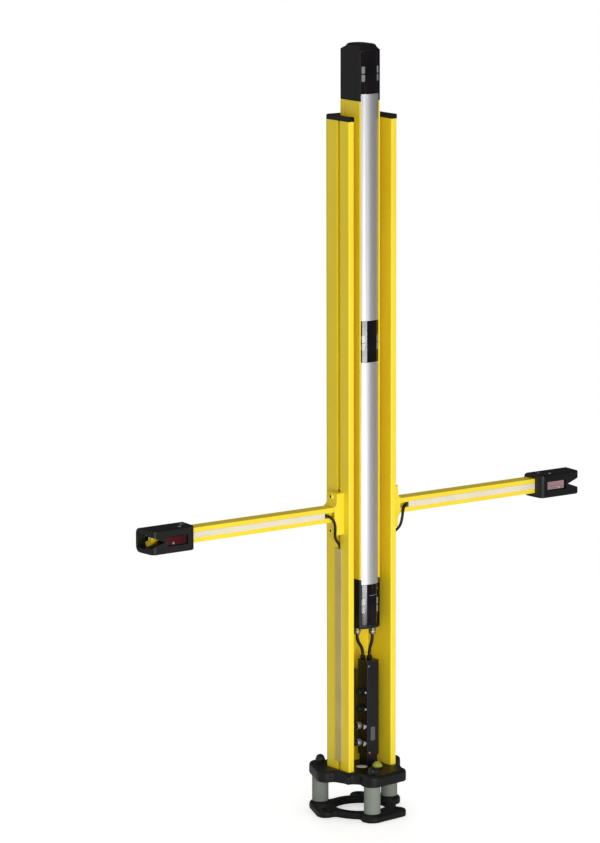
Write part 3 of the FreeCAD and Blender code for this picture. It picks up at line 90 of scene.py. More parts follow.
lens = bpy.data.cameras.new("camera")
lens.sensor_width = SENSOR
lens.lens = SENSOR * FOCAL_PIXELS / PHOTO_LONG_SIDE
lens.shift_x = FRAME_SHIFT
camera = bpy.data.objects.new("camera", lens)
camera.location = (
    -VIEW_DISTANCE * math.sin(VIEW_AZIMUTH),
    -VIEW_DISTANCE * math.cos(VIEW_AZIMUTH),
    VIEW_HEIGHT,
)
camera.rotation_euler = (math.pi / 2 - VIEW_TILT, 0, -VIEW_AZIMUTH)
bpy.context.scene.collection.objects.link(camera)
bpy.context.scene.camera = camera
print("lens", round(lens.lens, 1), "mm at", [round(c, 2) for c in camera.location])

# %% [markdown]
# ## Nodes in a few words
# A shader is a graph, and writing one out link by link hides what it does. One helper adds a node, sets
# its options and fills its inputs: a socket is linked and a plain value is typed in. It is used for
# every group and material below, through a few shorter helpers for the nodes that come up most.

# %% Helpers for shader graphs
def add_node(tree, kind, values=None, **options):
    """Add a node. A value that is a socket is linked, and any other value is set."""
    made = tree.nodes.new(kind)
    for name, option in options.items():
        setattr(made, name, option)
    for key, value in (values or {}).items():
        if isinstance(value, bpy.types.NodeSocket):
            tree.links.new(value, made.inputs[key])
        else:
            made.inputs[key].default_value = value
    return made


def maths(tree, operation, first, second=0.0, clamp=False):
    """Give the output of one Math node."""
    made = add_node(tree, "ShaderNodeMath", {0: first, 1: second}, operation=operation, use_clamp=clamp)
    return made.outputs[0]


def spread(tree, value, low, high, to_low=0.0, to_high=1.0):
    """Stretch the part of a value from low to high over a new range."""
    made = add_node(tree, "ShaderNodeMapRange", {0: value, 1: low, 2: high, 3: to_low, 4: to_high})
    return made.outputs[0]


def between(tree, mask, low, high):
    """A value that follows a mask from low to high."""
    return spread(tree, mask, 0.0, 1.0, low, high)


def blend_values(tree, share, first, second):
    """Mix two values by a mask."""
    return add_node(tree, "ShaderNodeMix", {0: share, 2: first, 3: second}).outputs[0]


def blend_colours(tree, share, first, second):
    """Mix two colours by a mask."""
    made = add_node(tree, "ShaderNodeMix", {0: share, 6: first, 7: second}, data_type="RGBA")
    return made.outputs[2]


def colour(red, green, blue):
    """Turn a screen colour, from 0 to 255, into the linear colour that shaders use."""
    screen = [channel / 255 for channel in (red, green, blue)]
    return (*[c / 12.92 if c <= 0.04045 else ((c + 0.055) / 1.055) ** 2.4 for c in screen], 1.0)


print("a mid grey of 128 is", round(colour(128, 128, 128)[0], 3), "in linear light")

# %% [markdown]
# ## Stage and light
# The studio is white to the camera and through glass, and it lights the object at a lower level, so
# that the finishes keep their colours. More of that light comes from the front than from behind, which
# tells the faces apart. Mirrors need something to show, and a white room would turn every black piece
# grey. So reflections see a room that is pale at the left and dark elsewhere.

# %% World
AMBIENT_FRONT = 0.56
AMBIENT_REAR = 0.3
AMBIENT_RANGE = (-0.6, 0.6)
FRONT = (0, -1, 0)
ROOM_PALE = 0.6
ROOM_DARK = 0.07
ROOM_RANGE = (0.3, 0.95)
PALE_SIDE = (-0.96, 0.17, 0.22)
WHITE_LEVEL = 1.0


def agreement(tree, way, direction):
    """How far one direction agrees with another, from -1 to 1."""
    made = add_node(tree, "ShaderNodeVectorMath", {0: way, 1: direction}, operation="DOT_PRODUCT")
    return made.outputs["Value"]


def seen_mask(tree, path):
    """A mask of the rays that see a surface straight, or through something clear."""
    return maths(tree, "MAXIMUM", path["Is Camera Ray"], path["Is Transmission Ray"])


world = bpy.data.worlds.new("studio")
world.use_nodes = True
bpy.context.scene.world = world
tree = world.node_tree
path = add_node(tree, "ShaderNodeLightPath").outputs
way = add_node(tree, "ShaderNodeTexCoord").outputs["Generated"]
ambient = spread(tree, agreement(tree, way, FRONT), *AMBIENT_RANGE, AMBIENT_REAR, AMBIENT_FRONT)
room = spread(tree, agreement(tree, way, PALE_SIDE), *ROOM_RANGE, ROOM_DARK, ROOM_PALE)
level = blend_values(tree, path["Is Glossy Ray"], ambient, room)
level = blend_values(tree, seen_mask(tree, path), level, WHITE_LEVEL)
tree.links.new(level, tree.nodes["Background"].inputs["Strength"])
tree.nodes["Background"].inputs["Color"].default_value = (1, 1, 1, 1)
print("ambient light", AMBIENT_REAR, "to", AMBIENT_FRONT, "and mirrored room", ROOM_DARK, "to", ROOM_PALE)

# %% [markdown]
# ### Floor
# A backdrop could be a curved sheet, but its shading would show behind the column. The floor is a wide
# disc instead. It catches the shadow round the base, and further out it turns clear and leaves the
# white of the world. A glow lifts it to that white. It shows only to the camera, straight or through
# something clear, so it adds no light to the object.

# %% Floor
FLOOR_RADIUS = 3.0
FLOOR_SIDES = 96
FLOOR_CLEAR = (0.35, 1.5)
FLOOR_PAINT = (0.9, 0.9, 0.9, 1.0)
FLOOR_GLOW = 0.55

bpy.ops.mesh.primitive_circle_add(vertices=FLOOR_SIDES, radius=FLOOR_RADIUS, fill_type="NGON")
floor = bpy.context.object
floor.name = "studio_floor"
floor.location.z = cad_low.z
floor_white = bpy.data.materials.new("floor_white")
floor_white.use_nodes = True
tree = floor_white.node_tree
tree.nodes.remove(tree.nodes["Principled BSDF"])
spot = add_node(tree, "ShaderNodeTexCoord").outputs["Object"]
distance = add_node(tree, "ShaderNodeVectorMath", {0: spot}, operation="LENGTH").outputs["Value"]
fade = spread(tree, distance, *FLOOR_CLEAR)
matt = add_node(tree, "ShaderNodeBsdfDiffuse", {"Color": FLOOR_PAINT}).outputs[0]
path = add_node(tree, "ShaderNodeLightPath").outputs
glow_level = maths(tree, "MULTIPLY", seen_mask(tree, path), FLOOR_GLOW)
glow = add_node(tree, "ShaderNodeEmission", {"Strength": glow_level}).outputs[0]
lit = add_node(tree, "ShaderNodeAddShader", {0: matt, 1: glow}).outputs[0]
clear = add_node(tree, "ShaderNodeBsdfTransparent").outputs[0]
surface = add_node(tree, "ShaderNodeMixShader", {0: fade, 1: lit, 2: clear}).outputs[0]
tree.links.new(surface, tree.nodes["Material Output"].inputs["Surface"])
floor.data.materials.append(floor_white)
print("floor at", round(floor.location.z, 4), "and clear from", FLOOR_CLEAR, "m")

# %% [markdown]
# ### Lamps
# The key lamp is a broad, low panel in front, a little to the left. Being low, it lights what faces the
# front and leaves the tops of the arms darker. Its mirror image is the pale strip on the two lower beam
# windows, and the top window stays black. A fill lamp from the camera's side reaches into the channel,
# and a weaker one behind lifts the rear edges. Mirrors don't show these two, or they would wash out the
# tops of the arms. A small pink card at the right is the other way round: it lights nothing, and only
# shows as a pale patch in the right-hand sensor window.

# %% Lamps
MIDDLE = (cad_low + cad_high) / 2
CARD_PINK = (1.0, 0.74, 0.76)


def soft_lamp(name, azimuth, height, away, width, tall, power, lights=True, mirrored=True):
    """A soft lamp that faces the object. Azimuth 0 is straight in front, and left is below 0."""
    made = bpy.data.lights.new(name, "AREA")
    made.shape = "RECTANGLE"
    made.size = width
    made.size_y = tall
    made.energy = power
    lamp = bpy.data.objects.new(name, made)
    turn = math.radians(azimuth)
    lamp.location = (away * math.sin(turn), -away * math.cos(turn), height)
    toward = Vector((MIDDLE.x, MIDDLE.y, height)) - lamp.location
    lamp.rotation_euler = toward.to_track_quat("-Z", "Y").to_euler()
    lamp.visible_camera = False
    lamp.visible_diffuse = lights
    lamp.visible_glossy = mirrored
    bpy.context.scene.collection.objects.link(lamp)
    return lamp


key = soft_lamp("key_lamp", azimuth=-11, height=-0.02, away=3.0, width=1.6, tall=0.68, power=39)
fill = soft_lamp(
    "fill_lamp", azimuth=-34, height=0.9, away=4.0, width=1.6, tall=1.6, power=45, mirrored=False)
rim = soft_lamp(
    "rim_lamp", azimuth=150, height=1.5, away=3.0, width=1.2, tall=1.6, power=24, mirrored=False)
card = soft_lamp(
    "window_card", azimuth=44, height=-0.06, away=2.65, width=0.26, tall=0.2, power=0.8, lights=False)
card.data.color = CARD_PINK
bpy.context.scene.view_settings.view_transform = "Standard"
print("lamps:", key.name, fill.name, rim.name, card.name)

# %% [markdown]
# ## Shared effects
# Real surfaces repeat a few habits: paint has a faint ripple, mouldings have a grain, extrusions have
# lines along their length, edges rub bright and also get a painted highlight, and dust settles on what
# faces up. Each habit is a node group, built once. Every finish then sets its own scale and amount. The
# groups give only masks and heights, and the colours and shaders stay in the materials.

# %% Tools for node groups
def new_group(name, inputs, outputs):
    """Make a group with float sockets, and give its tree, its inputs and its outputs."""
    tree = bpy.data.node_groups.new(name, "ShaderNodeTree")
    for label, default in inputs.items():
        socket = tree.interface.new_socket(label, in_out="INPUT", socket_type="NodeSocketFloat")
        socket.default_value = default
    for label in outputs:
        tree.interface.new_socket(label, in_out="OUTPUT", socket_type="NodeSocketFloat")
    return tree, tree.nodes.new("NodeGroupInput").outputs, tree.nodes.new("NodeGroupOutput").inputs


def place_group(tree, group, **values):
    """Put a group into a material with its own values, and give its outputs."""
    made = tree.nodes.new("ShaderNodeGroup")
    made.node_tree = group
    for name, value in values.items():
        made.inputs[name.replace("_", " ")].default_value = value
    return made.outputs


def noise(tree, scale, detail, stretch=None):
    """A noise pattern fixed to the object, in metres. Stretch squeezes or draws it along the axes."""
    spot = add_node(tree, "ShaderNodeTexCoord").outputs["Object"]
    if stretch is not None:
        spot = add_node(tree, "ShaderNodeMapping", {"Vector": spot, "Scale": stretch}).outputs[0]
    made = add_node(tree, "ShaderNodeTexNoise", {"Vector": spot, "Scale": scale, "Detail": detail})
    return made.outputs[0]


print("tools for groups:", new_group.__name__, place_group.__name__, noise.__name__)

# %% [markdown]
# ### Ripple of a coat
# Powder paint and polished plastic are never quite flat: they have a fine ripple, and broad clouds in
# which the tone drifts. Both are noise, at two scales that a finish can set.

# %% Coat ripple
CLOUD_RANGE = (0.32, 0.68)

coat_ripple, given, gives = new_group(
    "coat_ripple", {"scale": 420.0, "cloud scale": 9.0}, ("height", "cloud"))
coat_ripple.links.new(noise(coat_ripple, given["scale"], detail=1.5), gives["height"])
clouds = noise(coat_ripple, given["cloud scale"], detail=4.0)
coat_ripple.links.new(spread(coat_ripple, clouds, *CLOUD_RANGE), gives["cloud"])
print("group:", coat_ripple.name)

# %% [markdown]
# ### Grain of a moulding
# A mould is etched so that its pieces come out matt. The etching leaves small round cells, which a
# Voronoi pattern gives better than noise. A coarse mottle goes with it, for tone and gloss.

# %% Moulded grain
COARSER = 90.0
MIDDLE_RANGE = (0.3, 0.7)

moulded_grain, given, gives = new_group("moulded_grain", {"scale": 1600.0}, ("height", "mottle"))
cells = add_node(moulded_grain, "ShaderNodeTexVoronoi", {
    "Vector": add_node(moulded_grain, "ShaderNodeTexCoord").outputs["Object"],
    "Scale": given["scale"]})
moulded_grain.links.new(cells.outputs["Distance"], gives["height"])
coarse = noise(moulded_grain, maths(moulded_grain, "DIVIDE", given["scale"], COARSER), detail=5.0)
moulded_grain.links.new(spread(moulded_grain, coarse, *MIDDLE_RANGE), gives["mottle"])
print("group:", moulded_grain.name)

# %% [markdown]
# ### Lines of a die
# An extrusion is pressed through a die, which draws fine lines along it. Noise that is stretched more
# than a hundredfold along one axis gives such lines. The column and the arms lie along different axes,
# so there is a group for each.

# %% Lines along an extrusion
BROADER = 6.0
ALONG_COLUMN = (1.0, 1.0, 0.008)
ALONG_ARM = (0.008, 1.0, 1.0)


def drawn_lines(name, stretch):
    """Fine lines along one axis, as a die leaves them on an extrusion."""
    group, given, gives = new_group(name, {"scale": 900.0}, ("height", "streak"))
    group.links.new(noise(group, given["scale"], detail=2.0, stretch=stretch), gives["height"])
    broad = noise(group, maths(group, "DIVIDE", given["scale"], BROADER), detail=3.0, stretch=stretch)
    group.links.new(spread(group, broad, *MIDDLE_RANGE), gives["streak"])
    return group


upright_lines = drawn_lines("upright_lines", ALONG_COLUMN)
level_lines = drawn_lines("level_lines", ALONG_ARM)
print("groups:", upright_lines.name, level_lines.name)

# %% [markdown]
# ### Worn and highlit edges
# Edges are touched and knocked most, and lose their colour first. The same mask also paints the
# highlight that a rounded edge would catch. The Bevel node gives the normal that a rounded edge would
# have. Where it differs from the face's own normal there is an edge, and noise breaks the mask up.

# %% Worn edges and painted edge highlight
EDGE_RANGE = (0.995, 0.86)
BREAKUP_RANGE = (0.35, 0.6)

edge_wear_and_highlight, given, gives = new_group(
    "edge_wear_and_highlight", {"width": 0.001, "breakup scale": 220.0}, ("edge",))
rounded = add_node(edge_wear_and_highlight, "ShaderNodeBevel", {"Radius": given["width"]}, samples=4).outputs[0]
facing = add_node(edge_wear_and_highlight, "ShaderNodeNewGeometry").outputs["Normal"]
bend = spread(edge_wear_and_highlight, agreement(edge_wear_and_highlight, rounded, facing), *EDGE_RANGE)
breakup = spread(edge_wear_and_highlight, noise(edge_wear_and_highlight, given["breakup scale"], detail=4.0), *BREAKUP_RANGE)
edge_wear_and_highlight.links.new(maths(edge_wear_and_highlight, "MULTIPLY", bend, breakup, clamp=True), gives["edge"])
print("group:", edge_wear_and_highlight.name)

# %% [markdown]
# ### Settled dust
# Dust lies on what faces up, and in drifts. The upward part of the normal gives the first, and noise the
# second.

# %% Settled dust
UPWARD_RANGE = (0.4, 1.0)
DRIFT_RANGE = (0.35, 0.75)

settled_dust, given, gives = new_group("settled_dust", {"scale": 60.0, "amount": 0.5}, ("dust",))
normal = add_node(settled_dust, "ShaderNodeNewGeometry").outputs["Normal"]
upward = add_node(settled_dust, "ShaderNodeSeparateXYZ", {0: normal}).outputs["Z"]
flat = spread(settled_dust, upward, *UPWARD_RANGE)
drifts = spread(settled_dust, noise(settled_dust, given["scale"], detail=6.0), *DRIFT_RANGE)
layer = maths(settled_dust, "MULTIPLY", flat, drifts)
settled_dust.links.new(maths(settled_dust, "MULTIPLY", layer, given["amount"], clamp=True), gives["dust"])
print("group:", settled_dust.name)

# %% [markdown]
# ## Finishes
# Each finish is a short function: a Principled shader whose constant values are set on its own sockets,
# and one to three groups that vary its colour, roughness and height. The record names a slot for every
# solid, so a dictionary from slot to material is all that is needed to dress them. Reliefs are in mm.

# %% Tools for finishes
COAT_ROUGHNESS = 0.12

finishes = {}


def new_finish(name, metallic=0.0, specular=0.5, coat=0.0, coat_roughness=COAT_ROUGHNESS):
    """An empty material with its Principled shader, and the plain values set."""
    made = bpy.data.materials.new(name)
    made.use_nodes = True
    shader = made.node_tree.nodes["Principled BSDF"]
    shader.inputs["Metallic"].default_value = metallic
    shader.inputs["Specular IOR Level"].default_value = specular
    shader.inputs["Coat Weight"].default_value = coat
    shader.inputs["Coat Roughness"].default_value = coat_roughness
    return made, made.node_tree, shader


def join(tree, shader, base, roughness, height=None, relief=0.0):
    """Link a finish's varying values to its shader. Relief is the depth of its height."""
    tree.links.new(base, shader.inputs["Base Color"])
    tree.links.new(roughness, shader.inputs["Roughness"])
    if height is not None:
        bump = add_node(tree, "ShaderNodeBump", {"Height": height, "Distance": relief * MM, "Strength": 1.0})
        tree.links.new(bump.outputs[0], shader.inputs["Normal"])


print("tools for finishes:", new_finish.__name__, join.__name__)

# %% [markdown]
# ### Yellow coat
# The column, the arms and their brackets have a smooth yellow powder coat. One flat colour would look
# like a toy. So the tone drifts in clouds, a paler yellow on the edges paints their highlight, and the
# lines of the extrusion show through in the gloss.

# %% Yellow coat on extrusions
YELLOW = colour(247, 221, 46)
YELLOW_DEEP = colour(240, 208, 36)
# The paler yellow is a painted highlight for the edges.
YELLOW_EDGE_HIGHLIGHT = colour(252, 236, 110)
YELLOW_ROUGH = (0.3, 0.4)
YELLOW_LINES = 700.0
YELLOW_RELIEF = 0.03
CLOUD_SHARE = 0.5
EDGE_HIGHLIGHT_SHARE = 0.35
LINE_SHARE = 0.5


def yellow_coat(name, lines, ripple, specular):
    """A smooth yellow powder coat, with the extrusion's lines just showing through."""
    made, tree, shader = new_finish(name, specular=specular)
    coat = place_group(tree, coat_ripple, scale=ripple)
    drawn = place_group(tree, lines, scale=YELLOW_LINES)
    edge = place_group(tree, edge_wear_and_highlight, width=0.9 * MM)["edge"]
    base = blend_colours(tree, maths(tree, "MULTIPLY", coat["cloud"], CLOUD_SHARE), YELLOW, YELLOW_DEEP)
    # painted highlight: the edges are mixed towards a paler yellow
    base = blend_colours(tree, maths(tree, "MULTIPLY", edge, EDGE_HIGHLIGHT_SHARE), base, YELLOW_EDGE_HIGHLIGHT)
    height = maths(tree, "ADD", coat["height"], maths(tree, "MULTIPLY", drawn["height"], LINE_SHARE))
    join(tree, shader, base, between(tree, drawn["streak"], *YELLOW_ROUGH), height, YELLOW_RELIEF)
    return made


finishes["yellow_coat"] = yellow_coat("yellow_coat", upright_lines, ripple=420.0, specular=0.5)
finishes["yellow_arm"] = yellow_coat("yellow_arm", level_lines, ripple=420.0, specular=0.5)
finishes["yellow_bracket"] = yellow_coat("yellow_bracket", upright_lines, ripple=700.0, specular=0.6)
print("yellow finishes:", list(finishes))

# %% [markdown]
# ### Black castings and mouldings
# The base is coated cast metal with plastic cap nuts on it. Caps, hoods and plugs are moulded plastic, and
# so are the blocks behind the beam windows. All are black with a grain and grey at the edges, which is
# partly wear and partly a painted highlight, and dust lies on most of them. They differ in how coarse
# the grain is and how much they shine, so one function makes them from a row of values.

# %% Black castings and mouldings
BLACK = colour(14, 14, 16)
BLACK_WARM = colour(23, 23, 25)
# Grey for the edges: partly wear, partly a painted highlight.
BLACK_EDGE_WEAR_AND_HIGHLIGHT = colour(74, 75, 78)
DUST = colour(118, 114, 106)
DARK_SKINS = {
    "black_casting": dict(grain=900.0, relief=0.09, rough=(0.44, 0.6), specular=0.32, edge_wear_and_sheen=0.6, dust=0.05),
    "black_moulding": dict(grain=1700.0, relief=0.04, rough=(0.4, 0.52), specular=0.34, edge_wear_and_sheen=0.45, dust=0.03),
    "black_nut": dict(grain=2400.0, relief=0.02, rough=(0.26, 0.36), specular=0.5, edge_wear_and_sheen=0.3, dust=0.04),
    "beam_block": dict(grain=1700.0, relief=0.04, rough=(0.6, 0.7), specular=0.3, edge_wear_and_sheen=0.2, dust=0.0),
}


def dark_skin(name, grain, relief, rough, specular, edge_wear_and_sheen, dust):
    """A black grained skin: mottled, grey at the edges as wear and a painted highlight, with dust on top."""
    made, tree, shader = new_finish(name, specular=specular)
    cells = place_group(tree, moulded_grain, scale=grain)
    edge = place_group(tree, edge_wear_and_highlight, width=1.1 * MM)["edge"]
    fallen = place_group(tree, settled_dust, amount=dust)["dust"]
    base = blend_colours(tree, cells["mottle"], BLACK, BLACK_WARM)
    # edges turn grey: wear and a painted highlight
    base = blend_colours(tree, maths(tree, "MULTIPLY", edge, edge_wear_and_sheen), base, BLACK_EDGE_WEAR_AND_HIGHLIGHT)
    base = blend_colours(tree, fallen, base, DUST)
    join(tree, shader, base, between(tree, cells["mottle"], *rough), cells["height"], relief)
    return made


for name, values in DARK_SKINS.items():
    finishes[name] = dark_skin(name, **values)
print("dark finishes:", list(DARK_SKINS))

# %% [markdown]
# ### Windows
# The beam windows are black filters and the sensor windows dark red ones. Each is polished plastic: the
# colour hardly changes, and what shows is the mirror image of the lamps. A clear coat gives that sharp
# image over the softer gloss below. The aiming bars are printed on the same plastic.

# %% Beam windows and sensor windows
FILTER_COAT_ROUGHNESS = 0.04
FILTER_ROUGH = (0.07, 0.16)
FILTER_RELIEF = 0.004
FILTERS = {
    "beam_window": dict(tones=(colour(9, 9, 12), colour(22, 14, 20)), specular=0.5, coat=0.3),
    "window_print": dict(tones=(colour(138, 138, 140), colour(120, 120, 124)), specular=0.5, coat=0.3),
    "red_window": dict(tones=(colour(80, 20, 27), colour(54, 10, 16)), specular=0.6, coat=0.4),
}


def polished_filter(name, tones, specular, coat):
    """A polished filter: nearly one colour, with smears that show most in the gloss."""
    made, tree, shader = new_finish(
        name, specular=specular, coat=coat, coat_roughness=FILTER_COAT_ROUGHNESS)
    skin = place_group(tree, coat_ripple, scale=160.0, cloud_scale=34.0)
    base = blend_colours(tree, skin["cloud"], *tones)
    join(tree, shader, base, between(tree, skin["cloud"], *FILTER_ROUGH), skin["height"], FILTER_RELIEF)
    return made


for name, values in FILTERS.items():
    finishes[name] = polished_filter(name, **values)
print("polished finishes:", list(FILTERS))

# %% [markdown]
# ### Metal
# The front covers are satin silver. Screws are zinc-plated, and the device's glands and the plugs' nuts
# nickel-plated. The module bracket's zinc and the glands' nickel are darker copies, whose darker colour
# paints the shade they sit in. All show faint streaks, which change both the tone and the gloss. A little
# less than full metal keeps the covers pale in a dark room.

# %% Silver covers and plated metal
METAL_LINES = 1500.0
SILVER = (colour(224, 224, 227), colour(209, 210, 214))
ZINC = (colour(186, 188, 190), colour(158, 161, 166))
# A darker copy of zinc, which paints shade.
ZINC_SHADED = (colour(104, 98, 84), colour(84, 80, 70))
NICKEL = (colour(206, 202, 196), colour(182, 178, 170))
# A darker copy of nickel, which paints shade on the glands.
NICKEL_SHADED = (colour(160, 157, 152), colour(132, 129, 124))
METALS = {
    "silver_cover": dict(tones=SILVER, lines=upright_lines, rough=(0.46, 0.54), metallic=0.84, relief=0.01),
    "zinc_steel": dict(tones=ZINC, lines=level_lines, rough=(0.3, 0.45), metallic=1.0, relief=0.01),
    "zinc_aged": dict(tones=ZINC_SHADED, lines=upright_lines, rough=(0.5, 0.62), metallic=0.8, relief=0.01),
    "nickel": dict(tones=NICKEL_SHADED, lines=level_lines, rough=(0.36, 0.48), metallic=1.0, relief=0.004),
    "nickel_satin": dict(tones=NICKEL, lines=level_lines, rough=(0.42, 0.52), metallic=0.8, relief=0.01),
}


def satin_metal(name, tones, lines, rough, metallic, relief):
    """Satin metal: streaks along the piece change both its tone and its gloss."""
    made, tree, shader = new_finish(name, metallic=metallic)
    drawn = place_group(tree, lines, scale=METAL_LINES)
    base = blend_colours(tree, drawn["streak"], *tones)
    join(tree, shader, base, between(tree, drawn["streak"], *rough), drawn["height"], relief)
    return made


for name, values in METALS.items():
    finishes[name] = satin_metal(name, **values)
print("metal finishes:", list(METALS))

# %% [markdown]
# ### Elastomer, strips, leads and print
# The bushings are grey elastomer, the strips and slot covers plain plastic, the leads have a soft black
# jacket, and the circuit board is lacquered green. They need no wear: two near tones in clouds and a
# fine grain are enough, and the same function serves for the printed marks.

# %% Soft plastics
ROUGH_SPREAD = 0.06
SOFT_PLASTICS = {
    "elastomer": dict(
        tones=(colour(140, 147, 136), colour(120, 126, 115)), rough=0.62, grain=1100.0, relief=0.05,
        specular=0.3),
    "slot_cover": dict(
        tones=(colour(206, 188, 112), colour(188, 172, 100)), rough=0.5, grain=1500.0, relief=0.03),
    "arm_strip": dict(
        tones=(colour(232, 224, 200), colour(220, 208, 178)), rough=0.42, grain=1500.0, relief=0.02),
    "lead_jacket": dict(
        tones=(colour(15, 15, 16), colour(27, 27, 28)), rough=0.5, grain=2200.0, relief=0.03),
    "mark_white": dict(
        tones=(colour(250, 250, 250), colour(240, 240, 240)), rough=0.5, grain=2600.0, relief=0.01),
    "mark_dim": dict(
        tones=(colour(112, 126, 138), colour(92, 104, 116)), rough=0.5, grain=2600.0, relief=0.01),
    "label_grey": dict(
        tones=(colour(92, 96, 98), colour(78, 81, 84)), rough=0.45, grain=2600.0, relief=0.01),
    "circuit_board": dict(
        tones=(colour(28, 92, 50), colour(20, 70, 40)), rough=0.4, grain=900.0, relief=0.04),
}


def soft_plastic(name, tones, rough, grain, relief, specular=0.4):
    """A plain plastic or rubber: two near tones in clouds, and a fine grain."""
    made, tree, shader = new_finish(name, specular=specular)
    cells = place_group(tree, moulded_grain, scale=grain)
    base = blend_colours(tree, cells["mottle"], *tones)
    roughness = between(tree, cells["mottle"], rough - ROUGH_SPREAD, rough + ROUGH_SPREAD)
    join(tree, shader, base, roughness, cells["height"], relief)
    return made


for name, values in SOFT_PLASTICS.items():
    finishes[name] = soft_plastic(name, **values)
print("soft finishes:", list(SOFT_PLASTICS))

# %% [markdown]
# ### Fluid, lamps and lenses
# The bubble level's fluid, the small lamps and the lenses let light through. Full transmission would
# show the black plastic behind a lamp, and a real lamp is milky. So only the lenses are nearly clear,
# and the others mix a little transmission into a plain colour.

# %% Clear pieces
CLEAR_BEND = 1.45
CLEAR_ROUGH_SPREAD = 0.05
CLEAR_PIECES = {
    "level_fluid": dict(tones=(colour(196, 206, 84), colour(168, 182, 56)), through=0.25, rough=0.05),
    "lamp_amber": dict(tones=(colour(238, 122, 24), colour(206, 84, 12)), through=0.15, rough=0.1),
    "lamp_clear": dict(tones=(colour(238, 238, 234), colour(220, 220, 216)), through=0.1, rough=0.1),
    "lens_glass": dict(tones=(colour(236, 244, 246), colour(226, 238, 242)), through=0.9, rough=0.02),
}


def clear_piece(name, tones, through, rough):
    """A clear coloured piece that lets part of the light through."""
    made, tree, shader = new_finish(name)
    shader.inputs["Transmission Weight"].default_value = through
    shader.inputs["IOR"].default_value = CLEAR_BEND
    skin = place_group(tree, coat_ripple, scale=300.0, cloud_scale=90.0)
    base = blend_colours(tree, skin["cloud"], *tones)
    join(tree, shader, base, between(tree, skin["cloud"], rough, rough + CLEAR_ROUGH_SPREAD))
    return made


for name, values in CLEAR_PIECES.items():
    finishes[name] = clear_piece(name, **values)
print(len(finishes), "finishes in all")

# %% [markdown]
# ## Dressing the solids
# Every solid gets a material, and those that aren't replaced below keep their own mesh. The arms lie
# the other way from the column, so their coat has its lines along X. The module's bracket gets a duller,
# darker copy of zinc, whose darker colour paints the shade it sits in.

# %% Give each solid its finish
OWN_FINISH = {
    "arm_profile_left": "yellow_arm",
    "arm_profile_right": "yellow_arm",
    # painted shade: a darker zinc for the bracket in the channel
    "module_bracket": "zinc_aged",
}
slot_of = {part["node"]: part["material_slot"] for part in frame["record"]["subparts"]}
for name, solid in frame["nodes"].items():
    solid.data.materials.clear()
    solid.data.materials.append(finishes[OWN_FINISH.get(name, slot_of[name])])
print("dressed", len(slot_of), "solids")

# %% [markdown]
# ## New pieces
# A piece that is made here takes the place of a solid, or sits on one. Each is linked to the scene, gets
# a finish and rides on the one body of the object. A piece that takes a solid's place also hides that
# solid. One function does this for all of them, so no piece is left half done.

# %% Put a piece into the scene
SHARP_ANGLE = math.radians(38)


def place_piece(made, finish, slot, *nodes):
    """Put a new piece into the scene: its finish, the body it rides on, and the solids it stands for."""
    bpy.context.scene.collection.objects.link(made)
    made.data.materials.append(finishes[finish])
    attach(made, BODY)
    if nodes:
        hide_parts(*nodes)
    return made


def mesh_object(name, mesh):
    """Turn a bmesh into an object that is in no scene yet."""
    data = bpy.data.meshes.new(name)
    mesh.to_mesh(data)
    mesh.free()
    return bpy.data.objects.new(name, data)


def box_in_mm(node):
    """A solid's lowest and highest corners in mm."""
    return [[c / MM for c in corner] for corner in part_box(node)]


print("the column's top is at", round(box_in_mm("column_profile")[1][2]), "mm")

# %% [markdown]
# ## Leads
# Two leads drop from the device into the module, and one runs from each arm's groove, round its bracket
# and into the column's side slot. A lead could be a swept mesh, but a curve with a round bevel is simpler
# and bends better. The points below are the control points of a NURBS spline: the jacket only touches
# the first and the last of them, and passes the others in soft curves, as a stiff jacket does.

# %% Draw the leads
DEVICE_LEAD = 5.0
ARM_LEAD = 4.2
LEAD_ROUNDNESS = 5
LEAD_STEPS = 10
DEVICE_ROUTES = {
    "device_lead_left": [(-8, -2, 276), (-8, -2, 265.8), (3.6, -0.5, 252.2), (3.6, -0.5, 242)],
    "device_lead_right": [(11, -15, 276), (11, -15, 265.8), (11, -7.5, 252.2), (11, -7.5, 242)],
}
ARM_ROUTE = [(92, -11.5, 467.5), (77.5, -11.5, 467.5), (70, -16.1, 466.7), (64.4, -20.1, 461),
             (62, -21.8, 450.5), (60.8, -18, 436), (53, -11.4, 426.5), (43.3, -5.8, 418.5),
             (39.2, -5, 407.5), (39, -4.9, 393.5)]


def lead(node, route, width):
    """One lead on a smooth curve, in place of its plain tube."""
    line = bpy.data.curves.new(node + "_jacket", "CURVE")
    line.dimensions = "3D"
    line.bevel_depth = width / 2 * MM
    line.bevel_resolution = LEAD_ROUNDNESS
    line.use_fill_caps = True
    spline = line.splines.new("NURBS")
    spline.points.add(len(route) - 1)
    for control, spot in zip(spline.points, route):
        control.co = (*[c * MM for c in spot], 1.0)
    spline.order_u = 3
    spline.use_endpoint_u = True
    spline.resolution_u = LEAD_STEPS
    made = place_piece(bpy.data.objects.new(node + "_jacket", line), "lead_jacket", "lead_jacket", node)
    print(node, "is", round(spline.calc_length() / MM, 1), "mm long")


for node, route in DEVICE_ROUTES.items():
    lead(node, route, DEVICE_LEAD)
lead("arm_lead_right", ARM_ROUTE, ARM_LEAD)
lead("arm_lead_left", [(-x, y, z) for x, y, z in ARM_ROUTE], ARM_LEAD)

# %% [markdown]
# ## Turned fittings
# Screws, glands, plugs and caps are all turned pieces, with here and there a hexagon, ribs or a driver
# recess. They could come from a lathe modifier, but then every ring would be round. So a fitting is a
# stack of rings: each has a radius, a height and an outline, and neighbouring rings are joined by faces.
# More lists of rings, each in a finish of its own, make the recess of a screw or the nut of a plug.

# %% Outlines
RIBS = 18
RIB_DEPTH = 0.045
CROSS_CORE = 0.34
CROSS_ARM = 0.2
CROSS_TURN = math.pi / 4.4


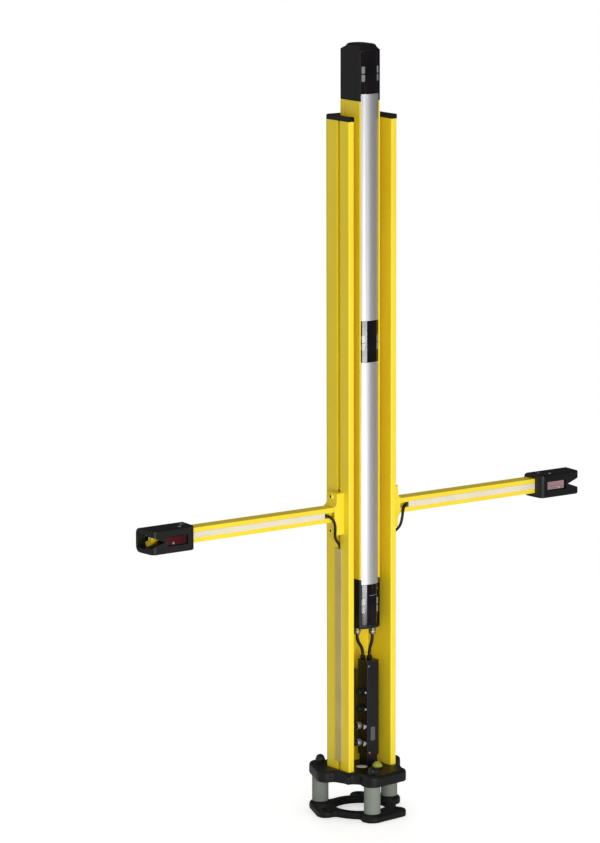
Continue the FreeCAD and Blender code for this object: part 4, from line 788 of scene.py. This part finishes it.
def round_outline(angle):
    """A circle."""
    return 1.0


def hex_outline(angle):
    """A hexagon's edge, as a share of its corner radius."""
    return math.cos(math.pi / 6) / math.cos(angle % (math.pi / 3) - math.pi / 6)


def ribbed_outline(angle):
    """Soft ribs for the fingers."""
    return 1.0 - RIB_DEPTH * (0.5 - 0.5 * math.cos(RIBS * angle)) ** 2


def cross_outline(angle):
    """A driver cross with round ends, as a share of its reach."""
    arm = abs((angle + math.pi / 4) % (math.pi / 2) - math.pi / 4)
    if arm >= CROSS_TURN:
        return CROSS_CORE
    return max(CROSS_CORE, CROSS_ARM / max(CROSS_ARM, math.sin(arm)))


print("the flat of a hexagon is at", round(hex_outline(math.pi / 6), 3), "of its corner")

# %% Ring stacks
SIDES = 72
POINT = 0.001


def stack_rings(mesh, place, rings, finish=0):
    """Join rings of (radius, height, outline) into a skin round the Z axis of a placement, in mm."""
    before = None
    for radius, height, outline in rings:
        ring = []
        for i in range(SIDES):
            angle = math.tau * i / SIDES
            reach = max(radius, POINT) * outline(angle) * MM
            spot = Vector((reach * math.cos(angle), reach * math.sin(angle), height * MM))
            ring.append(mesh.verts.new(place @ spot))
        if before is not None:
            for i in range(SIDES):
                around = (i + 1) % SIDES
                face = mesh.faces.new((before[i], before[around], ring[around], ring[i]))
                face.material_index = finish
                face.smooth = True
        before = ring


print("a ring has", SIDES, "sides")

# %% [markdown]
# ### Where a fitting goes
# One solid can hold several like bodies, such as the screws of a bracket. Their places could be typed in
# again, but the solid knows them. So its mesh is sorted into bodies that hang together, and the box of
# each body gives the fitting its place.

# %% Find the bodies of a solid
MERGE = 0.001 * MM


def islands(node):
    """The boxes of a solid's separate bodies, as pairs of lowest and highest corner."""
    solid = frame["nodes"][node]
    mesh = bmesh.new()
    mesh.from_mesh(solid.data)
    bmesh.ops.remove_doubles(mesh, verts=mesh.verts, dist=MERGE)
    left = set(mesh.verts)
    boxes = []
    while left:
        waiting = [left.pop()]
        group = []
        while waiting:
            spot = waiting.pop()
            group.append(solid.matrix_world @ spot.co)
            near = {edge.other_vert(spot) for edge in spot.link_edges} & left
            left -= near
            waiting.extend(near)
        low = Vector([min(p[i] for p in group) for i in range(3)])
        high = Vector([max(p[i] for p in group) for i in range(3)])
        boxes.append((low, high))
    mesh.free()
    return sorted(boxes, key=lambda box: tuple(box[0]))


print("the bracket screws are", len(islands("arm_bracket_screws")), "bodies")

# %% Build a fitting
RIGHT = (1, 0, 0)
LEFT = (-1, 0, 0)
BACK = (0, 1, 0)
UP = (0, 0, 1)
DOWN = (0, 0, -1)


def fitting(node, slot, axis, rings, others=(), turn=0.0, mirrored=False):
    """Build one fitting at each body of a solid. The axis points outward, and height 0 is its outer end.

    Others are further lists of rings, each with the finish it gets.
    """
    mesh = bmesh.new()
    outward = Vector(axis)
    spots = islands(node)
    for low, high in spots:
        middle = (low + high) / 2
        side = -1 if mirrored and middle.x < 0 else 1
        way = Vector((outward.x * side, outward.y, outward.z))
        half = (high - low) / 2
        end = middle + Vector([way[i] * half[i] for i in range(3)])
        place = Matrix.Translation(end) @ way.to_track_quat("Z", "Y").to_matrix().to_4x4()
        place = place @ Matrix.Rotation(math.radians(turn), 4, "Z")
        stack_rings(mesh, place, rings)
        for index, (_, more_rings) in enumerate(others, 1):
            stack_rings(mesh, place, more_rings, index)
    bmesh.ops.recalc_face_normals(mesh, faces=mesh.faces)
    made = place_piece(mesh_object(node + "_detail", mesh), slot, slot, node)
    made.data.set_sharp_from_angle(angle=SHARP_ANGLE)
    for finish, _ in others:
        made.data.materials.append(finishes[finish])
    print(node, "has", len(spots), "fittings and", len(made.data.polygons), "faces")


# %% [markdown]
# ### Screws
# A socket head has a small bevel at its rim and a hexagon that goes in dark. A pan head is a flat dome
# with a driver cross. The bracket screws are coated with their bracket, so they are yellow.

# %% Screws
RIM_SHARE = 0.12
KEY_LIP = 0.25
CROSS_LIP = 0.05


def socket_head(radius, height, key):
    """Rings of a socket head, from its seat to the rim of the hexagon, and the rings of the recess."""
    bevel = radius * RIM_SHARE
    skin = [(radius, -height, round_outline), (radius, -bevel * 2, round_outline),
            (radius - bevel * 0.4, -bevel * 0.6, round_outline), (radius - bevel, 0, round_outline),
            (key * 1.12, 0, round_outline), (key, -KEY_LIP, hex_outline)]
    recess = [(key, -KEY_LIP, hex_outline), (key * 0.97, -height * 0.8, hex_outline),
              (0, -height * 0.95, round_outline)]
    return skin, [("black_moulding", recess)]


def pan_head(radius, height, cross):
    """Rings of a domed head with a driver cross."""
    skin = [(radius, -height, round_outline), (radius, -height * 0.55, round_outline),
            (radius * 0.94, -height * 0.25, round_outline), (radius * 0.8, -height * 0.08, round_outline),
            (cross * 1.25, 0, round_outline), (cross, -CROSS_LIP, cross_outline)]
    recess = [(cross, -CROSS_LIP, cross_outline), (cross * 0.85, -height * 0.7, cross_outline),
              (0, -height * 0.85, round_outline)]
    return skin, [("black_moulding", recess)]


bracket_screw = socket_head(radius=4.25, height=2.5, key=2.4)
clamp_screw = socket_head(radius=4.5, height=3.0, key=2.3)
hood_screw = pan_head(radius=2.75, height=1.6, cross=1.5)
module_screw = pan_head(radius=3.0, height=2.5, cross=1.7)
fitting("arm_bracket_screws", "yellow_bracket", RIGHT, *bracket_screw, mirrored=True)
fitting("clamp_screws", "zinc_steel", BACK, *clamp_screw)
fitting("hood_screws", "zinc_steel", UP, *hood_screw)
fitting("module_bracket_screws", "zinc_steel", FRONT, *module_screw)

# %% [markdown]
# ### Glands, plugs and caps
# A gland is a hexagon under a smooth collar, closed by a rubber lip round the lead. The plugs and the
# blanking caps have ribs for the fingers. A plug's ribbed nut is nickel and its grip is black.

# %% Glands
GLAND_TURN = 15


def gland_rings(corner, height, lead_width):
    """Rings of a gland: collar, hexagon with cut corners, dome and rubber lip."""
    collar = corner * 0.8
    flat = corner * math.cos(math.pi / 6)
    nut = height * 0.6
    skin = [(collar, -height, round_outline), (collar, -nut - 0.5, round_outline),
            (flat, -nut, round_outline), (corner, -nut + 0.7, hex_outline),
            (corner, -height * 0.22, hex_outline), (flat, -height * 0.16, round_outline),
            (flat * 0.93, -height * 0.06, round_outline), (flat * 0.8, 0, round_outline)]
    lip = [(flat * 0.8, 0, round_outline), (lead_width / 2 + 0.5, -0.2, round_outline),
           (lead_width / 2, -1.2, round_outline)]
    return skin, [("black_moulding", lip)]


device_gland = gland_rings(corner=6.0, height=12.0, lead_width=DEVICE_LEAD)
module_gland = gland_rings(corner=4.5, height=6.0, lead_width=DEVICE_LEAD)
fitting("device_glands", "nickel", DOWN, *device_gland, turn=GLAND_TURN)
fitting("module_glands", "black_moulding", UP, *module_gland, turn=GLAND_TURN)

# %% Plugs and caps on the module's sockets
PLUG_NUT = [(5.2, -14.0, round_outline), (5.5, -13.7, ribbed_outline), (5.5, -7.6, ribbed_outline),
            (5.1, -7.2, round_outline)]
PLUG_GRIP = [(5.1, -7.2, round_outline), (5.1, -5.6, round_outline), (4.0, -5.1, round_outline),
             (3.75, -4.4, round_outline), (3.75, -1.0, round_outline), (3.3, -0.2, round_outline),
             (2.4, 0, round_outline)]
CAP = [(5.2, -5.0, round_outline), (5.5, -4.7, ribbed_outline), (5.5, -1.0, ribbed_outline),
       (5.0, -0.3, round_outline), (4.4, 0, round_outline), (3.4, 0, round_outline),
       (3.1, -0.4, round_outline), (0, -0.5, round_outline)]

fitting("sensor_plugs", "black_moulding", LEFT, PLUG_GRIP, [("nickel_satin", PLUG_NUT)])
fitting("blanking_caps", "black_moulding", LEFT, CAP)

# %% [markdown]
# ### Bubble level
# The level is a clear dome over green fluid. A dark circle on it marks the middle, and the bubble is a
# pale lens at its top. Circle and bubble follow the dome's own curve, a hair above it.

# %% Bubble level
DOME_FLAT = 1.5
DOME_ROUND = 6.0
VIAL_HEIGHT = 9.0
HAIR = 0.06
DOME_TURNS = range(90, -1, -10)
CIRCLE_TURNS = (36, 33, 30)
BUBBLE_TURNS = (20, 14, 7, 0)


def dome_ring(turn, lift=0.0):
    """The ring of the dome at an angle from its top, in degrees."""
    angle = math.radians(turn)
    reach = DOME_ROUND + lift
    return (DOME_FLAT + reach * math.sin(angle), reach * math.cos(angle) - DOME_ROUND, round_outline)


dome = [(DOME_FLAT + DOME_ROUND, -VIAL_HEIGHT, round_outline)]
dome += [dome_ring(turn) for turn in DOME_TURNS] + [(0, 0, round_outline)]
circle = [dome_ring(turn, HAIR) for turn in CIRCLE_TURNS]
bubble = [dome_ring(turn, HAIR) for turn in BUBBLE_TURNS] + [(0, HAIR, round_outline)]
fitting("level_vial", "level_fluid", UP, dome, [("black_moulding", circle), ("lamp_clear", bubble)])

# %% [markdown]
# ## Castings and the head cap
# The two plates of the base are castings, and a casting has no sharp edge: the metal flows round every
# corner and into every joint between a lobe and the middle. The head cap is a moulding whose crown is as
# soft, with a low lid. A bevel needs tidy edges, and the solids come as long thin triangles. So a copy
# of the solid is rebuilt in small even faces by a Remesh modifier, and a Smooth modifier then melts its
# edges. The flat faces stay where they are. The cap's lid is lowered first, and a vertex group keeps
# the cap's second melt to its crown.

# %% Even faces and melted edges
MELT_FACTOR = 0.5


def even_copy(node, grain):
    """A new piece for a solid, with the same shape in small even faces. Grain is their size in mm."""
    made = bpy.data.objects.new(node + "_soft", frame["nodes"][node].data.copy())
    made.data.materials.clear()
    place_piece(made, slot_of[node], slot_of[node], node)
    even = made.modifiers.new("even_faces", "REMESH")
    even.mode = "VOXEL"
    even.voxel_size = grain * MM
    even.use_smooth_shade = True
    graph = bpy.context.evaluated_depsgraph_get()
    made.data = bpy.data.meshes.new_from_object(made.evaluated_get(graph))
    made.modifiers.clear()
    print(made.name, "has", len(made.data.polygons), "faces")
    return made


def settle(made, level, share):
    """Lower what lies above a level to a share of its height."""
    for vert in made.data.vertices:
        vert.co.z = min(vert.co.z, level + (vert.co.z - level) * share)


def melt(made, passes, above=None):
    """Melt the edges of a piece, or only what lies above a level."""
    soft = made.modifiers.new("melted_edges", "SMOOTH")
    soft.factor = MELT_FACTOR
    soft.iterations = passes
    if above is not None:
        crown = made.vertex_groups.new(name="crown")
        crown.add([vert.index for vert in made.data.vertices if vert.co.z > above], 1.0, "REPLACE")
        soft.vertex_group = crown.name


# %% Melt the castings and the cap
CAST_GRAIN = 1.1
CAST_PASSES = 24
CAP_GRAIN = 0.8
CAP_PASSES = 10
LID_HEIGHT = 8.5
LID_SHARE = 0.62
CROWN_PASSES = 130
CROWN_HEIGHT = 11.5

for plate in ("base_top_plate", "base_foot_plate"):
    melt(even_copy(plate, CAST_GRAIN), CAST_PASSES)
cap = even_copy("head_cap", CAP_GRAIN)
cap_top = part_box("head_cap")[1][2]
settle(cap, cap_top - LID_HEIGHT * MM, LID_SHARE)
melt(cap, CAP_PASSES)
melt(cap, CROWN_PASSES, cap_top - CROWN_HEIGHT * MM)

# %% [markdown]
# ## Hoods
# The hood over each sensor is one moulding: a sleeve on the arm, with a bay for the sensor in front and a
# notch at its outer end. Its front corners are broad rounds, and the solid's are sharp. A bevel modifier
# would round every edge alike. So a block is rounded in bmesh, one set of edges after another, and boolean
# modifiers then cut the sleeve, the bay and the notch where the solid has them.

# %% Rounded blocks
TINY = 0.01 * MM


def prism(outline, start, end):
    """A closed mesh from an outline of (x, z) points, drawn out along Y from start to end."""
    mesh = bmesh.new()
    near = [mesh.verts.new((x, start, z)) for x, z in outline]
    far = [mesh.verts.new((x, end, z)) for x, z in outline]
    mesh.faces.new(near)
    mesh.faces.new(far)
    for i, corner in enumerate(near):
        mesh.faces.new((corner, near[i - 1], far[i - 1], far[i]))
    bmesh.ops.recalc_face_normals(mesh, faces=mesh.faces)
    return mesh


def block(low, high):
    """A closed box from its lowest to its highest corner."""
    outline = [(low[0], low[2]), (high[0], low[2]), (high[0], high[2]), (low[0], high[2])]
    return prism(outline, low[1], high[1])


def lie_at(ends, axis, place):
    """Tell whether both ends of an edge lie at one place on an axis."""
    return all(abs(end[axis] - place) < TINY for end in ends)


def round_edges(mesh, radius, steps, chosen):
    """Round the edges whose pair of ends passes a test."""
    edges = [edge for edge in mesh.edges if chosen([vert.co for vert in edge.verts])]
    bmesh.ops.bevel(mesh, geom=edges, offset=radius * MM, segments=steps, profile=0.5, affect="EDGES")
    print("rounded", len(edges), "edges to", radius, "mm")


# %% Cuts
def cut_out(made, tools):
    """Cut closed meshes out of an object of the scene, and keep the result as its mesh."""
    cutters = [mesh_object("cutter", tool) for tool in tools]
    for cutter in cutters:
        bpy.context.scene.collection.objects.link(cutter)
        step = made.modifiers.new("cut", "BOOLEAN")
        step.operation = "DIFFERENCE"
        step.solver = "EXACT"
        step.object = cutter
    graph = bpy.context.evaluated_depsgraph_get()
    made.data = bpy.data.meshes.new_from_object(made.evaluated_get(graph))
    made.modifiers.clear()
    for cutter in cutters:
        bpy.data.objects.remove(cutter)
    print(made.name, "has", len(tools), "cuts")


# %% Hoods
HOOD_CORNER = 8.0
HOOD_CORNER_STEPS = 10
HOOD_BACK_EDGE = 9.0
HOOD_BACK_STEPS = 8
HOOD_FRONT_EDGE = 2.0
HOOD_FRONT_STEPS = 4
NOTCH_DEPTH = 23.0
NOTCH_HALF = 9.0
ROOM = 0.2 * MM
PAST = 1.0 * MM


def rounded_block(low, high):
    """The hood's outer form: round along its back, broad corners in front, and a soft rim there."""
    mesh = block(low, high)
    corner_end = low[1] + HOOD_CORNER * MM + TINY

    def along_back(ends):
        return lie_at(ends, 1, high[1]) and lie_at(ends, 2, ends[0].z)

    def front_corner(ends):
        return lie_at(ends, 1, low[1]) and lie_at(ends, 0, ends[0].x)

    def front_rim(ends):
        level = lie_at(ends, 2, low[2]) or lie_at(ends, 2, high[2])
        return level and max(end.y for end in ends) < corner_end

    round_edges(mesh, HOOD_BACK_EDGE, HOOD_BACK_STEPS, along_back)
    round_edges(mesh, HOOD_CORNER, HOOD_CORNER_STEPS, front_corner)
    round_edges(mesh, HOOD_FRONT_EDGE, HOOD_FRONT_STEPS, front_rim)
    return mesh


def hood(side, outward):
    """One hood. Outward is 1 on the right-hand arm and -1 on the left-hand one."""
    node = "hood_" + side
    low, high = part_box(node)
    arm_low, arm_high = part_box("arm_profile_" + side)
    bay_low, bay_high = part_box("sensor_" + side)
    made = mesh_object(node + "_moulding", rounded_block(low, high))
    place_piece(made, slot_of[node], slot_of[node], node)
    sleeve = block((low[0] - PAST, arm_low[1] - ROOM, arm_low[2] - ROOM),
                   (high[0] + PAST, arm_high[1] + ROOM, arm_high[2] + ROOM))
    bay = block((bay_low[0] - ROOM, low[1] - PAST, bay_low[2] - ROOM),
                (bay_high[0] + ROOM, arm_low[1], bay_high[2] + ROOM))
    tip = (high[0] if outward > 0 else low[0]) - outward * NOTCH_DEPTH * MM
    mouth = tip + outward * (NOTCH_DEPTH * MM + PAST)
    middle = (low[2] + high[2]) / 2
    notch = prism([(tip, middle), (mouth, middle - NOTCH_HALF * MM), (mouth, middle + NOTCH_HALF * MM)],
                  low[1] - PAST, arm_low[1])
    cut_out(made, [sleeve, bay, notch])
    made.data.polygons.foreach_set("use_smooth", [True] * len(made.data.polygons))
    made.data.set_sharp_from_angle(angle=SHARP_ANGLE)
    made.modifiers.new("flat_faces", "WEIGHTED_NORMAL").keep_sharp = True


hood("right", 1)
hood("left", -1)

# %% [markdown]
# ## Marks
# The beam windows carry grey aiming bars, and the lowest one also a thin line and a dot. The module has
# a blank label and a small spot, and two white arrow shapes beside its plugs that are painted highlights
# of the plug nuts. The base has a white disc, and each sensor window a small lamp. A mark could be part of
# a material, but as a thin patch it keeps a crisp edge in every view. On the bowed windows a patch is a
# row of narrow strips, so that it bends with the window.

# %% Patches
LIFT = 0.08
STRIPS = 12


def patch(mesh, to_place, width, tall, corner, narrows=0.0):
    """A rounded rectangle about the origin of a surface. to_place turns (across, up) into a point in mm.

    Narrows is the share of its height that it loses from its first side to its last, as an arrow does.
    """
    before = None
    for i in range(STRIPS + 1):
        across = width * (i / STRIPS - 0.5)
        past = max(0.0, abs(across) - width / 2 + corner)
        reach = tall / 2 - corner + math.sqrt(max(0.0, corner ** 2 - past ** 2))
        reach *= 1 - narrows * i / STRIPS
        pair = [mesh.verts.new(Vector(to_place(across, up)) * MM) for up in (-reach, reach)]
        if before is not None:
            mesh.faces.new((before[0], pair[0], pair[1], before[1]))
        before = pair


def marks(name, finish, patches):
    """One piece from several patches, each given as the values that patch takes."""
    mesh = bmesh.new()
    for shape in patches:
        patch(mesh, *shape)
    place_piece(mesh_object(name, mesh), finish, None)
    print(name, "has", len(patches), "patches")


# %% Aiming bars on the bowed windows
BOW = 28.1
BOW_MIDDLE = 0.1
BAR_TURN = 27.8
BAR = (5.0, 10.4, 1.2)
BAR_DROP = 1.7
BAR_STEP = 6.0
LAMP_DOT = (3.0, 3.0, 1.5)
LAMP_DOT_TURN = 27
LAMP_DOT_RISE = 23.5
LINE = (15.0, 0.8, 0.2)
LINE_TURN = 7
LINE_RISE = 14


def on_bow(turn, level):
    """Places on a bowed window round a middle at some angle from the front, in degrees."""
    def to_place(across, up):
        angle = math.radians(turn) + across / BOW
        reach = BOW + LIFT
        return (reach * math.sin(angle), BOW_MIDDLE - reach * math.cos(angle), level + up)
    return to_place


def beam_level(window):
    """The height of the beam behind a window."""
    low, high = box_in_mm(window)
    return (low[2] + high[2]) / 2


bars = []
for window in ("top_window", "middle_window", "bottom_window"):
    for turn in (-BAR_TURN, BAR_TURN):
        for step in (-BAR_STEP, BAR_STEP):
            bars.append((on_bow(turn, beam_level(window) - BAR_DROP + step), *BAR))
lowest_beam = beam_level("bottom_window")
lamp_dot = (on_bow(LAMP_DOT_TURN, lowest_beam + LAMP_DOT_RISE), *LAMP_DOT)
marks("window_bars", "window_print", bars + [lamp_dot])
marks("window_line", "mark_dim", [(on_bow(LINE_TURN, lowest_beam + LINE_RISE), *LINE)])

# %% Marks on the module
LABEL = (8.0, 21.0, 0.8)
LABEL_X = 8.4
LABEL_LEVEL = 123
# Painted highlights: white arrow-shaped patches for the glint on the plug nuts.
PLUG_GLINT = (6.4, 9.0, 0.4, 0.8)
PLUG_GLINT_Y = -13.6
PLUG_GLINT_DROP = 2
SPOT = (3.6, 2.2, 1.0)
SPOT_X = 0.8
SPOT_LEVEL = 228


def facing_front(x, y, z):
    """Places on a face that looks to the front."""
    return lambda across, up: (x + across, y - LIFT, z + up)


def facing_left(x, y, z):
    """Places on a face that looks to the left."""
    return lambda across, up: (x - LIFT, y - across, z + up)


module_side, module_front, _ = box_in_mm("module_housing")[0]
plug_levels = [(low.z + high.z) / 2 / MM for low, high in islands("sensor_plugs")]
marks("module_label", "label_grey", [(facing_front(LABEL_X, module_front, LABEL_LEVEL), *LABEL)])
# painted highlight of the plug nuts, as white patches beside them
marks("module_plug_glints", "mark_white", [
    (facing_left(module_side, PLUG_GLINT_Y, level - PLUG_GLINT_DROP), *PLUG_GLINT) for level in plug_levels])
marks("module_spot", "window_print", [(facing_front(SPOT_X, module_front, SPOT_LEVEL), *SPOT)])

# %% Disc on the base, and lamps in the sensor windows
DISC = (17.0, 17.0, 8.5)
DISC_X = -8.5
DISC_Y = -14.5
SENSOR_LAMP = (3.6, 3.4, 1.0)
SENSOR_LAMP_INSET = 11.0
SENSOR_LAMP_RISE = 2.0


def facing_up(x, y, z):
    """Places on a face that looks up."""
    return lambda across, up: (x + across, y + up, z + LIFT)


plate_top = box_in_mm("base_top_plate")[1][2]
marks("plate_disc", "mark_white", [(facing_up(DISC_X, DISC_Y, plate_top), *DISC)])
left_low, _ = box_in_mm("sensor_window_left")
_, right_high = box_in_mm("sensor_window_right")
lamp_places = (left_low[0] + SENSOR_LAMP_INSET, right_high[0] - SENSOR_LAMP_INSET)
lamp_level = left_low[2] + SENSOR_LAMP_RISE
marks("sensor_spots", "window_print", [
    (facing_front(x, left_low[1], lamp_level), *SENSOR_LAMP) for x in lamp_places])
